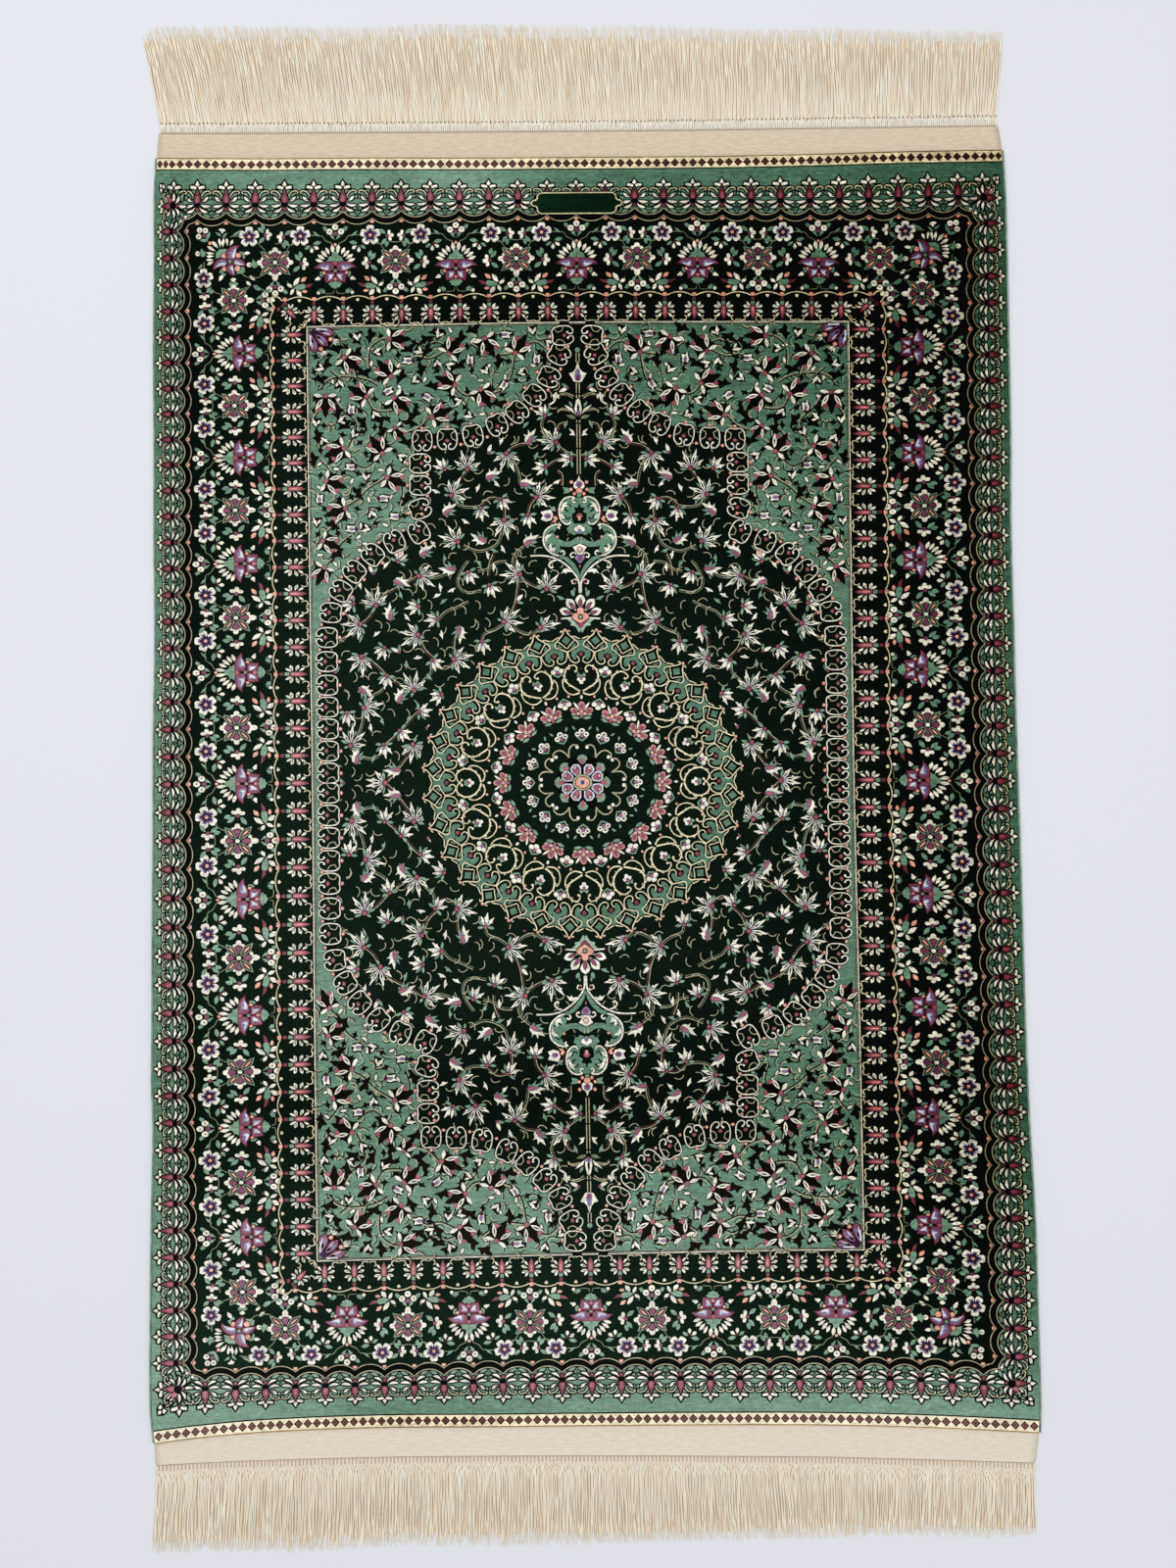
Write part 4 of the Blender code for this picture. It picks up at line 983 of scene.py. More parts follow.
def vase():
    lay("sea", [0 + 263j, -10 + 262j, -15.5 + 258j, -17.5 + 250j, -16.5 + 242j, -12 + 238.6j, -9 + 236.6j, -12 + 234j,
                -10 + 229j, -5 + 227.6j, 0 + 230j], "ink", 0.9)
    lay("sea", [-20 + 236.4j, -27 + 235.4j, -32 + 230j, -33 + 222j, -30 + 214j, -22 + 209.6j, -17.6 + 213j, -19 + 218j,
                -16 + 217j, -9 + 216.6j, -3.4 + 219.4j, 0 + 219j, 0 + 226j, -4 + 225j, -8 + 222j, -14 + 221.4j, -20 + 224.6j,
                -24 + 229j], "ink", 0.9)
    lay("night", [0 + 258j, -1.4 + 253.6j, -5.2 + 253.4j, -3.6 + 249.4j, -7 + 247.4j, -6.4 + 240.4j, -4 + 238j, 0 + 238.6j])
    lay("night", ribbon(smooth([-7.6 + 254j, -10.6 + 256.4j, -13.4 + 252.6j, -10.4 + 249.6j], 3), 1.6))
    lay("night", ribbon(smooth([-13.6 + 246.6j, -11.4 + 242.6j, -8.2 + 244.6j], 3), 1.3))
    lay("night", ribbon(smooth([-29 + 228.6j, -25.4 + 231.4j, -22.6 + 228.4j], 3), 1.3))
    lay("night", ribbon(smooth([-30 + 219.6j, -26.4 + 216.4j, -22.8 + 218.4j], 3), 1.3))
    lay("night", ribbon(smooth([-17.6 + 226.6j, -12.6 + 225.4j, -7.6 + 229.4j], 3), 2.2))
    # ivory arms
    lay("ivory", ribbon(smooth([-3.2 + 258.8j, -5.8 + 258.4j, -6.2 + 260.8j, -4.6 + 262.9j, -10 + 263.4j, -15.2 + 260.4j,
                                -18.2 + 255j, -18.6 + 248j, -17 + 242j, -13 + 238.2j, -9.4 + 238.4j, -8.4 + 240.8j], 3), 1.5),
        "ink", 0.5)
    lay("ivory", [-17.6 + 251j, -15.6 + 257j, -10.6 + 259.2j, -12.6 + 256j, -9.4 + 255.4j, -13.4 + 254j, -16.6 + 248.6j])
    lay("ivory", [-18.4 + 248j, -15.4 + 247j, -13.4 + 243.6j, -16 + 243.4j])
    lay("ivory", ribbon(smooth([-18.4 + 233.6j, -19.8 + 235.2j, -17.4 + 237.4j, -22 + 237.6j, -27.4 + 235.6j, -32.2 + 231j,
                                -33.8 + 224j, -32.6 + 217.6j, -28.4 + 212.4j, -23 + 209.2j, -17 + 208.4j, -14.2 + 211j,
                                -16 + 213.2j, -17.8 + 211.8j], 3), 1.5), "ink", 0.5)
    lay("ivory", [-32.6 + 226j, -29 + 228.6j, -25.4 + 228j, -29 + 225.6j, -31.6 + 220.6j])
    lay("ivory", [-28 + 213.4j, -28.6 + 217.6j, -26.4 + 220.4j, -26 + 215.6j, -22.4 + 216.4j, -24 + 211.6j])
    # flowers on its middle line
    lay("rose", [0 + 248.2j, -2.4 + 247j, -2.9 + 244.6j, 0 + 244j], "claret", 0.5)
    lay("peach", [0 + 245.6j, -1.5 + 244.8j, -1.2 + 241.6j, 0 + 241.4j])
    lay("ivory", [0 + 237.4j, -2.2 + 236j, -5.2 + 234.4j, -4.6 + 231.4j, -1.8 + 230.6j, 0 + 230.4j], "ink", 0.6)
    lay("lilac", [0 + 234j, -2.1 + 232.6j, -1.4 + 229.4j, 0 + 228.4j])
    lay("stone", box(-2.2, -1.2, 222, 226))
    lay("ivory", [0 + 219.6j, -2.6 + 218.4j, -6.6 + 216.6j, -4.4 + 213.4j, -3.4 + 210j, 0 + 209.6j], "ink", 0.7)
    lay("rose", disc(3.0, 214.2j, 9))
    lay("ivory", disc(1.9, 214.2j, 8))
    lay("peach", disc(0.9, 214.2j, 6))
    lay("ivory", ribbon(smooth([-3.4 + 210j, -6 + 211.4j, -8.8 + 209.4j, -7.6 + 206.8j, -5.8 + 207.8j], 3), 1.3), "ink", 0.5)
    lay("lilac", [0 + 209j, -3.8 + 209.2j, -4.6 + 206j, -1.6 + 202.4j, 0 + 201.6j], "ink", 0.6)
    lay("mauve", [0 + 208.4j, -1.8 + 208j, -2.4 + 205.4j, 0 + 203j])
    lay("rose", [0 + 200.4j, -1.0 + 199j, 0 + 196.6j])
    # leaves and the ivory volute under it
    lay("sea", [-17.6 + 209.4j, -11 + 206.8j, -5 + 201j, -1.4 + 194.6j, 0 + 189.4j, 0 + 186.6j, -3.6 + 192.6j, -9 + 199.6j,
                -14.6 + 204.8j, -20 + 207j], "ink", 0.7)
    lay("ivory", ribbon(smooth([-46 + 208.4j, -36 + 208.6j, -28 + 207.6j, -20 + 204.6j, -13 + 200j, -7 + 194j, -2.4 + 187.6j,
                                -0.9 + 182j, -0.8 + 174j], 3), 1.5), "ink", 0.7)
    lay("ivory", ribbon(smooth([-22 + 204.6j, -27 + 202.6j, -28.8 + 199.4j, -26.6 + 197j, -24.8 + 198.4j], 3), 1.4), "ink", 0.5)
    lay("ivory", [-7 + 192.8j, -11 + 196.6j, -15 + 196.2j, -17.8 + 191.4j, -14.4 + 193.4j, -13.6 + 191.4j, -11.4 + 193.6j],
        "ink", 0.5)
    lay("ivory", [-2.6 + 186.6j, -4.4 + 187.2j, -8.6 + 185.2j, -7.4 + 182j, -4 + 182.4j], "ink", 0.5)
    lay("claret", disc(2.0, -5.2 + 184.4j, 7))
    lay("leaf", [-6.6 + 170.6j, -8.6 + 172.6j, -8.8 + 176.4j, -5.4 + 175.6j, -5 + 172j], "ink", 0.4)
    # side flower
    lay("ivory", [-24.4 + 247.2j, -26.6 + 251.6j, -31 + 250.8j, -36 + 249.4j, -33.8 + 245.8j, -36 + 242.4j, -31 + 240.4j,
                  -26 + 241.8j], "ink", 0.7)
    lay("lilac", disc(3.6, -29.4 + 245.6j, 9, 0.75))
    lay("mauve", disc(2.3, -29 + 245.4j, 8, 0.7))
    lay("peach", [-26 + 239.4j, -23.4 + 242j, -24.4 + 245.2j, -21.6 + 245.4j, -20 + 242.6j, -22.6 + 240.2j], "claret", 0.5)
    lay("claret", ribbon(smooth([-21.4 + 246.4j, -20.6 + 249j, -21.4 + 253.4j], 3), 1.8, 1.0))
    lay("leaf", [-22 + 250j, -23 + 254.6j, -27 + 253.6j, -25.4 + 250.4j], "ink", 0.3)
    lay("peach", disc(1.3, -20.6 + 226j, 6), "claret", 0.5)


def middlePalmette():
    place = spot(152j, 90)
    twice(place, "mist", [-1.4 + 5.6j, -2.2 + 12.8j, -5.8 + 8.6j, -8.0 + 9.6j, -9.0 + 4.8j, -14.8 + 1.6j,
                          -13.4 + 0.2j, -8 + 0.2j],
          "ink", 0.4)
    twice(place, "ivory", ribbon([-1.2 + 8.4j, -2.0 + 18.0j], 1.4))
    twice(place, "claret", disc(0.9, -2.2 + 18.8j, 6))
    for turnBy, start, length, width in ((72, 7.2, 13.4, 7.4), (38, 6.5, 14.4, 8.4), (0, 7.0, 13.8, 9.4)):
        for side in ((1, -1) if turnBy else (1,)):
            petal = spot(0, turnBy * side)
            once(place, "ivory", moved(petal, leaf(length, width, 0.62, start=start)), "ink", 0.8)
            once(place, "mauve", moved(petal, leaf(length * 0.55, width * 0.36, 0.5, start=start + length * 0.14)), "plum", 0.6)
    once(place, "brick", [-2.2 + 7.4j, -9.6 + 0.8j, -9.6 - 0.8j, -2.2 - 7.4j, -4.4 - 1.0j, -4.4 + 1.0j], "claret", 0.6)
    once(place, "peach", [8.2 + 1.4j, 6.4 + 3.2j, 3.6 + 2.6j, 2.6 + 6.4j, -0.4 + 8.0j, -2.6 + 5.8j, -6.4,
                          -2.6 - 5.8j, -0.4 - 8.0j,
                          2.6 - 6.4j, 3.6 - 2.6j, 6.4 - 3.2j, 8.2 - 1.4j], "claret", 0.6)
    once(place, "claret", disc(2.7, -0.3, 9))
    once(place, "mist", disc(1.5, -0.3, 7))


# ---- the medallion, wound round the centre as rings of sixteen and thirty-two

ringSizes = {"outer": (127.7, 118.6), "circles": (106.4, 95.5), "lotus": (70.5, 61.5), "small": (49, 42.5)}


def ringSpot(ring, turnBy):  # local +x points out from the centre, +y goes round
    across, along = ringSizes[ring]
    reach = (across + along) / 2

    def place(z):
        angle = math.radians(turnBy) + z.imag / reach
        return complex((across + z.real) * math.cos(angle), (along + z.real) * math.sin(angle))
    return place


def medallionUnit(place):  # a green bell with its heart, and the gold line round its two lobes
    bell = [1.6 + 0j, 0.4 + 3.6j, -4.0 + 3.6j, -6.6 + 5.4j, -5.6 + 7.2j, -2.6 + 8.6j, 1.2 + 8.6j, 3.0 + 6.8j, 3.4 + 3.6j,
            7.4 + 2.2j, 12.4 + 4.2j, 11.6 + 0j]
    once(place, "reed", bell + [z.conjugate() for z in bell[::-1][1:-1]], "ink", 1.3)
    twice(place, "straw", ribbon(smooth([-3.0 + 3.6j, -4.6 + 2.2j, -7.4 + 1.8j, -9.2 + 5j, -7.4 + 9.2j, -3.4 + 11.2j,
                                         1.8 + 11.7j],
                                        3), 0.95))
    twice(place, "straw", ribbon(smooth([12.8 + 0j, 14.0 + 3.2j, 15.4 + 6.4j, 11.6 + 9.8j], 2), 0.9), "ink", 0.8)
    once(place, "brick", disc(2.0, -1.0, 8), "ink", 0.9)


def spearUnit(place):
    once(place, "ink", [1.6, 5.4 + 9.2j, 9.8 + 9.6j, 14.4 + 6j, 20, 14.4 - 6j, 9.8 - 9.6j, 5.4 - 9.2j])
    once(place, "reed", [7.8, 12.0 + 3.7j, 16.2, 12.0 - 3.7j])
    twice(place, "reed", [5.2 + 3.6j, 9.0 + 6.4j, 8.4 + 8.0j, 5.6 + 7.4j])
    twice(place, "straw", ribbon(smooth([1.4 + 0.8j, 4.0 + 5.0j, 6.2 + 9.2j, 9.6 + 9.4j, 14.0 + 5.4j, 17.4 + 2.4j,
                                         20.6 + 1.2j], 3), 0.95))
    twice(place, "straw", ribbon(smooth([4.4 + 0.4j, 7.6 + 3.0j, 11.4 + 6.6j], 2), 0.8))
    once(place, "peach", disc(1.3, 21.6, 6), "claret", 0.4)
    twice(place, "straw", ribbon([19.8 + 1.2j, 21.2 + 2.8j, 19.8 + 3.8j], 0.9))


def leafyArm(place, knots, teeth, inward, first=0.9, most=1.7):  # a scrolling stem with small leaves on its inner side
    path = smooth(knots, 3)
    once(place, "straw", ribbon(path, first, most), "ink", 0.4)
    for k in teeth:
        run = path[k + 1] - path[k - 1]
        run = run / abs(run)
        once(place, "straw", [path[k] - run * 0.8, path[k] + inward * 2.2j * run - 1.2 * run, path[k] + run * 0.9])


def acanthusRing(place):
    leafyArm(place, [6.2 - 1.5j, 8.7 - 0.4j, 10.9 - 3.4j, 11 - 8j, 4.5 - 13j, -4.2 - 12.1j, -9.7 - 6.9j, -12 - 0.4j],
             (10, 12, 14, 16, 18), 1)
    leafyArm(place, [6.6 + 3.6j, 9.4 + 3.6j, 12 + 5.9j, 9.7 + 11.4j, 2.2 + 14.6j, -4.3 + 12.6j, -10.3 + 4.5j, -12 + 1.4j],
             (8, 10, 12, 14, 16), -1)
    for at in (6.2 - 2.4j, 6.2 + 4.6j):
        once(place, "straw", disc(1.2, at, 6))
    once(place, "leaf", [4.4 - 1.4j, 1.0 - 3.6j, 2.0 + 0j, 1.4 + 4.2j, 5.2 + 2.6j, 2.8 + 0.6j])
    once(place, "ivory", [0.6 + 2.8j, -1.6 + 4.2j, -3.0 + 2.0j, -5.4 + 1.4j, -5.2 - 1.4j, -3.0 - 1.8j, -1.8 - 4.4j,
                          0.4 - 3.4j], "ink", 0.3)
    once(place, "lilac", disc(1.7, -0.6, 7))
    once(place, "rose", disc(1.2, 0.6, 6), "claret", 0.3)


def ringLink(place):  # the two side arms of neighbouring rings, with a flower and pink dots between
    for side in (1, -1):
        arm = [-13.6 + 18.2j, -15.2 + 12j, -13 + 6j, -7 + 2.6j, -1.2 + 3.2j, 0.8 + 5.2j, -1.4 + 6.4j]
        path = smooth([complex(z.real, z.imag * side) for z in arm], 2)
        once(place, "straw", ribbon(path, 1.3, 0.9))
        once(place, "straw", disc(1.2, complex(-1.4, 6.2 * side), 6))
        once(place, "peach", disc(1.3, complex(9.4, 9.6 * side), 6), "claret", 0.3)
        once(place, "peach", disc(1.3, complex(-16.4, 6.2 * side), 6), "claret", 0.3)
    smallFlower(spotIn(place, 6.4, 0, 0.9))


def smallFlower(place, hollow=False):
    once(place, "leaf", ribbon([-0.6 + 4.6j, -4.4 + 0j, -0.6 - 4.6j], 1.5), "ink", 0.4)
    for at, size in ((4.4, 2.6), (1.6 + 3.6j, 2.4), (1.6 - 3.6j, 2.4)):
        once(place, "ivory", disc(size, at, 8), "ink", 0.4)
        if hollow:
            once(place, "night", disc(size * 0.4, at, 6))
    once(place, "lilac", disc(2.0, 0.9, 7))
    once(place, "rose", disc(1.3, -0.3, 6), "mauve", 0.3)


def lotus(place):
    twice(place, "leaf", moved(spot(-3.0 + 1.4j, 78), leaf(7.6, 3.0, 0.5)), "ink", 0.3)
    for side in (1, -1):
        once(place, "ivory", moved(spot(3.6 + side * 1.6j, 27 * side), leaf(9.6, 1.9, 0.6)), "ink", 0.4)
        once(place, "ivory", moved(spot(0.8 + side * 3.6j, 84 * side), leaf(5.4, 1.8, 0.6)), "ink", 0.3)
    for at, turnBy, long, wide in ((4.2 + 6.2j, 50, 6.8, 5.2), (4.2 - 6.2j, -50, 6.8, 5.2), (8.6, 0, 8.0, 5.2)):
        petal = spot(at, turnBy)
        oval = [complex(long / 2 * math.cos(0.785 * n), wide / 2 * math.sin(0.785 * n)) for n in range(8)]
        once(place, "peach", moved(petal, oval), "ink", 0.6)
        once(place, "rose", moved(petal, [0.86 * z - 0.2 for z in oval]))
        once(place, "mauve", moved(petal, [0.56 * z - 1.0 for z in oval]))
    for at in (3.4, 1.2 + 2.9j, 1.2 - 2.9j):
        once(place, "peach", disc(1.6, at, 6), "claret", 0.3)
    once(place, "lilac", disc(1.7, 0.4, 7))
    once(place, "rose", disc(1.5, -1.4, 6))


def centreFlower():
    lay("ink", disc(25, 0, 16))
    for turnBy in (90, 141, 180):
        tip = {90: 20.4, 141: 20.6, 180: 20.8}[turnBy]
        place = spot(turned(turnBy) * tip, turnBy)
        for side in (0, 58, -58):
            once(place, "leaf", moved(spot( 0, side), [1 + 2.2j, 4.8 + 1.9j, 5.2 - 1.9j, 1 - 2.2j]))
        once(place, "leaf", disc(3.4, 0, 9))
        once(place, "rose", [2.4 + 0j, 0.8 + 2.3j, -3.2 + 1.2j, -4.4, -3.2 - 1.2j, 0.8 - 2.3j])
    for turnBy, reach in ((117, 12.8), (159, 15.0)):
        place = spot(turned(turnBy) * reach, turnBy)
        petal = [-5.4 - 2.2j, 0 - 4.9j, 3.6 - 4.4j, 5.6 - 0j, 3.6 + 4.4j, 0 + 4.9j, -5.4 + 2.2j]
        once(place, "milk", petal, "ink", 0.5)
        once(place, "lilac", [z * 0.78 for z in petal])
        once(place, "mauve", [z * 0.62 - 0.8 for z in petal])
        once(place, "rose", [z * 0.36 - 1.6 for z in petal])
        once(place, "plum", disc(2.1, 1.9, 7))
        once(place, "peach", disc(1.4, 2.0, 7))
    ring = [complex(-8.8 * math.cos(math.radians(a)), 7.6 * math.sin(math.radians(a))) for a in range(-22, 203, 45)]
    whole = [complex(9.4 * math.cos(math.radians(a)), 7.6 * math.sin(math.radians(a))) for a in range(22, 382, 45)]
    lay("stone", whole, "ink", 0.6)
    lay("claret", [z * 0.80 for z in whole])
    lay("peach", [z * 0.70 for z in whole])
    lay("blue", disc(1.9, 0.4j, 8, 0.85))


def cuspedLine():
    knots = [[-3.6 + 33.8j, -9 + 34j, -12 + 30j, -12.4 + 25.6j, -12.2 + 22.4j],
             [-12.2 + 22.4j, -15.4 + 26.4j, -19.6 + 28.9j, -23.6 + 28.6j, -27 + 25.4j, -26.4 + 22.2j],
             [-29 + 21.2j, -31.4 + 21.6j, -34.2 + 18.8j, -34.2 + 14.8j, -31 + 11.8j, -27 + 9.4j],
             [-27 + 9.4j, -35.4 + 9.8j, -39.6 + 7j, -40.4 + 3.6j, -39.6 + 1.2j]]
    for path in knots:
        lay("stone", ribbon(smooth(path, 4), 1.2), "ink", 0.3)
    for at in (-4.6 + 32.2j, -28 + 20.4j, -38.4 + 2.6j, -24.4 + 23j):
        lay("ivory", disc(1.7, at, 7), "ink", 0.4)


def medallion():
    lay("night", ellipse(153, 142))
    for k in range(9):
        medallionUnit(ringSpot("outer", 90 + 11.25 * k))
    for k in range(9):
        spearUnit(ringSpot("outer", 84.375 + 11.25 * k))
    for k in range(6):
        ringLink(ringSpot("circles", 78.75 + 22.5 * k))
    for k in range(5):
        acanthusRing(ringSpot("circles", 90 + 22.5 * k))
    for k in range(6):
        smallFlower(spotIn(ringSpot("lotus", 78.75 + 22.5 * k), 12, 180, 0.9))
        once(ringSpot("lotus", 90 + 22.5 * k), "ivory", moved(spot(14.4, 0), leaf(4, 1.9, 0.5)), "ink", 0.3)
    for k in range(5):
        lotus(ringSpot("lotus", 90 + 22.5 * k))
        place = ringSpot("small", 90 + 22.5 * k)
        smallFlower(place, True)
        twice(place, "leaf", moved(spot(5.6 + 5.2j, 24), leaf(4.4, 1.7, 0.5)))
    cuspedLine()
    centreFlower()


def ellipse(across, along, count=36):
    return [complex(-across * math.cos(math.pi / 2 * k / count), along * math.sin(math.pi / 2 * k / count))
            for k in range(count + 1)] + [0j]


def wholeChart():
    lay("sea", box(-rug["halfWidth"], 0, 0, rug["halfLength"]))
    endStrip()
    outerGuard()
    scallopedLines()
    mainBorder()
    innerGuard()
    fieldLines()
    spandrels()
    field()
    medallion()
    axisOrnaments()
    vase()
    middlePalmette()
    scrollBand()


# each zone of the chart is a solid of its own: its outline, and the chart size that fills its bake
zones = [
    ("outerGuard", box(-400, 0, 0, 588.5), (400, 588.5)),
    ("mainBorder", box(-358.5, 0, 0, 524), (358.5, 524)),
    ("innerGuard", box(-286.5, 0, 0, 458), (286.5, 458)),
    ("spandrel", box(-252, 0, 0, 429.5), (252, 429.5)),
    ("field", fieldOutline, (238, 427.6)),
    ("medallion", ellipse(153, 142), (153, 142)),
]

wholeChart()


print("chart drawn:", len(laid), "shapes")


# ---- the real rug is a little uneven: smooth readings between measured stations

def between(stations, at):
    stations = np.array(stations, float)
    at = np.clip(np.atleast_1d(np.array(at, float)), stations[0], stations[-1])
    last = len(stations) - 1
    low = np.clip(np.searchsorted(stations, at, side="right") - 1, 0, last - 1)
    span = stations[low + 1] - stations[low]
    t = (at - stations[low]) / span
    weights = np.zeros((len(at), last + 1))
    rows = np.arange(len(at))
    np.add.at(weights, (rows, low), 2 * t ** 3 - 3 * t ** 2 + 1)
    np.add.at(weights, (rows, low + 1), 3 * t ** 2 - 2 * t ** 3)
    for node, lean in ((low, t ** 3 - 2 * t ** 2 + t), (low + 1, t ** 3 - t ** 2)):
        before, after = np.maximum(node - 1, 0), np.minimum(node + 1, last)
        share = lean * span / (stations[after] - stations[before])
        np.add.at(weights, (rows, after), share)
        np.add.at(weights, (rows, before), -share)
    return weights


# the rug's outline, in millimetres from its woven centre
sides = {
    "along": (-591, -560, -490, -400, -310, -270, -225, -135, -45, 50, 140, 230, 320, 420, 500, 550, 590),
    "left": (-403.4, -406.2, -406.4, -405.7, -404.2, -405.7, -405.3, -405.2, -404.6, -404.5, -403.2, -404.2,
             -404.3, -405.0, -404.2, -404.6, -403.2),
    "right": (398.0, 399.2, 399.1, 398.8, 396.0, 395.4, 394.9, 394.7, 394.4, 393.9, 394.0, 393.9, 396.2, 397.0,
              397.6, 397.4, 396.4),
}
ends = {
    "across": (-406, -360, -300, -200, -100, 0, 100, 200, 300, 400),
    "pileTop": (592.6, 591.8, 590.8, 590.2, 588.8, 588.2, 587.6, 588.0, 589.6, 590.0),
    "webTop": (617.4, 616.8, 616.2, 615.5, 614.8, 614.2, 613.8, 614.0, 614.1, 614.1),
    "rootTop": (625.4, 624.8, 624.2, 623.4, 622.6, 621.8, 621.4, 621.8, 622.0, 622.2),
    "pileBottom": (-591.2, -586.2, -581.8, -579.2, -579.8, -580.0, -580.6, -582.0, -585.6, -591.6),
    "webBottom": (-611.4, -609.4, -607.8, -606.4, -606.6, -607.6, -609.2, -611.2, -615.0, -619.3),
    "rootBottom": (-618.6, -616.8, -615.2, -613.8, -613.8, -614.6, -616.4, -618.4, -622.2, -626.6),
}
fringeTips = {
    "topShare": (0, 0.03, 0.13, 0.25, 0.36, 0.48, 0.59, 0.70, 0.82, 0.93, 1),
    "topAcross": (-416.2, -398.0, -312.0, -214.0, -123.6, -30.8, 62.0, 154.0, 247.6, 340.3, 399.6),
    "topAlong": (716.0, 722.0, 720.8, 719.6, 721.2, 718.1, 716.8, 711.8, 711.5, 708.3, 706.1),
    "bottomShare": (0, 0.06, 0.17, 0.28, 0.39, 0.50, 0.61, 0.72, 0.84, 0.95, 1),
    "bottomAcross": (-404.6, -355.8, -267.7, -179.4, -91.3, -3.1, 85.1, 173.4, 261.6, 349.7, 391.0),
    "bottomAlong": (-688.6, -687.4, -688.9, -684.8, -686.0, -685.4, -683.9, -683.3, -681.8, -684.7, -683.5),
}
webInset = {"Top": (3.4, 4.6), "Bottom": (2.6, 5.6)}
rugSizes = {"centreAcross": -8.16, "centreAlong": 16.71, "selvedge": 2.6, "gap": 0.3, "foundation": 1.2,
            "pileLow": 1.25, "pileTop": 4.0, "webHigh": 1.6}


def sideAt(along, side):
    return between(sides["along"], along) @ np.array(sides[side])


def endAt(across, column):
    return between(ends["across"], across) @ np.array(ends[column])


# where the chart's main lines lie on the rug, in millimetres from its woven centre
chartAcross = (-400, -373, -250, 0, 250, 373, 400)
chartAlong = (-588.5, -538, -427.6, -214, 0, 214, 427.6, 538, 588.5)
realAcross = (
    (-404, -375, -252, -6.5, 240, 368, 398),
    (-405.5, -375, -252, -6.5, 240, 367, 398.6),
    (-405, -375.5, -252.3, -6.5, 240, 366.6, 398.5),
    (-404, -377.5, -253.8, -7.5, 240.5, 366, 394.5),
    (-403.5, -379.6, -255, -8, 240.2, 365, 395),
    (-403.2, -380, -257, -7.8, 242, 366.5, 395.5),
    (-403, -380.5, -258.5, -7.5, 244.4, 369, 396.5),
    (-403.5, -381.5, -258.5, -7, 245, 371, 397),
    (-403, -381, -258.5, -7, 245, 371, 396),
)
realAlong = (
    (-590.6, -588, -579.5, -580, -583.5, -590, -591.4),
    (-536.5, -536, -535, -532.2, -534, -540.4, -541),
    (-431.5, -431.5, -429.2, -426.2, -425.4, -430.5, -430.5),
    (-222, -222, -219.5, -217, -218.5, -223.5, -223.5),
    (3, 3, 2.6, 0, -0.8, -3.6, -3.6),
    (218.5, 218.5, 218.5, 216, 213.5, 215, 215),
    (427, 427, 428, 429, 426.4, 425, 425),
    (539, 539.6, 539, 539.4, 536.2, 537.6, 537),
    (592.4, 592, 590.3, 588.4, 589.5, 590, 589.2),
)


def onTheRug(u, v):  # chart millimetres to millimetres on the rug, snapped to its outline at the rim
    acrossWeights, alongWeights = between(chartAcross, u), between(chartAlong, v)
    x = np.einsum("ni,ij,nj->n", alongWeights, np.array(realAcross), acrossWeights)
    y = np.einsum("ni,ij,nj->n", alongWeights, np.array(realAlong), acrossWeights)
    inset = rugSizes["selvedge"] + rugSizes["gap"]
    for end, sign in (("pileTop", 1), ("pileBottom", -1)):
        share = np.clip((sign * v - 548) / 26, 0, 1)
        share = share * share * (3 - 2 * share)
        y += share * (endAt(x, end) - sign * (rug["halfLength"] - sign * v) - y)
    for side, sign, column in (("left", -1, 0), ("right", 1, -1)):
        share = np.clip((sign * u - 380) / 20, 0, 1)
        edge = alongWeights @ np.array(realAcross)[:, column]
        x += share * (sideAt(y, side) - sign * inset - edge)
    return x, y


def placed(x, y):  # rug millimetres to the shared frame's metres
    return (x - rugSizes["centreAcross"]) * mm, (y - rugSizes["centreAlong"]) * mm


# ---- the chart becomes solid pieces of cut pile

def linear(rgb):
    return [((c / 255 + 0.055) / 1.055) ** 2.4 if c > 10 else c / 255 / 12.92 for c in rgb]


def addPiece(name, bm, material):
    mesh = bpy.data.meshes.new(name)
    bm.to_mesh(mesh)
    bm.free()
    mesh.materials.append(material)
    piece = bpy.data.objects.new(name, mesh)
    scene.collection.objects.link(piece)
    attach(piece, "root")
    return piece


def partition(shapes):  # one even layer of triangles, and the shapes each of them lies in
    points, faces = [], []
    for outline in shapes:
        if area(outline) < 0:
            outline = outline[::-1]
        faces.append(list(range(len(points), len(points) + len(outline))))
        points += [Vector((z.real, z.imag)) for z in outline]
    spots, edges, triangles, a, b, owners = delaunay_2d_cdt(points, [], faces, 1, 1e-4)
    return np.array([tuple(p) for p in spots]), triangles, owners


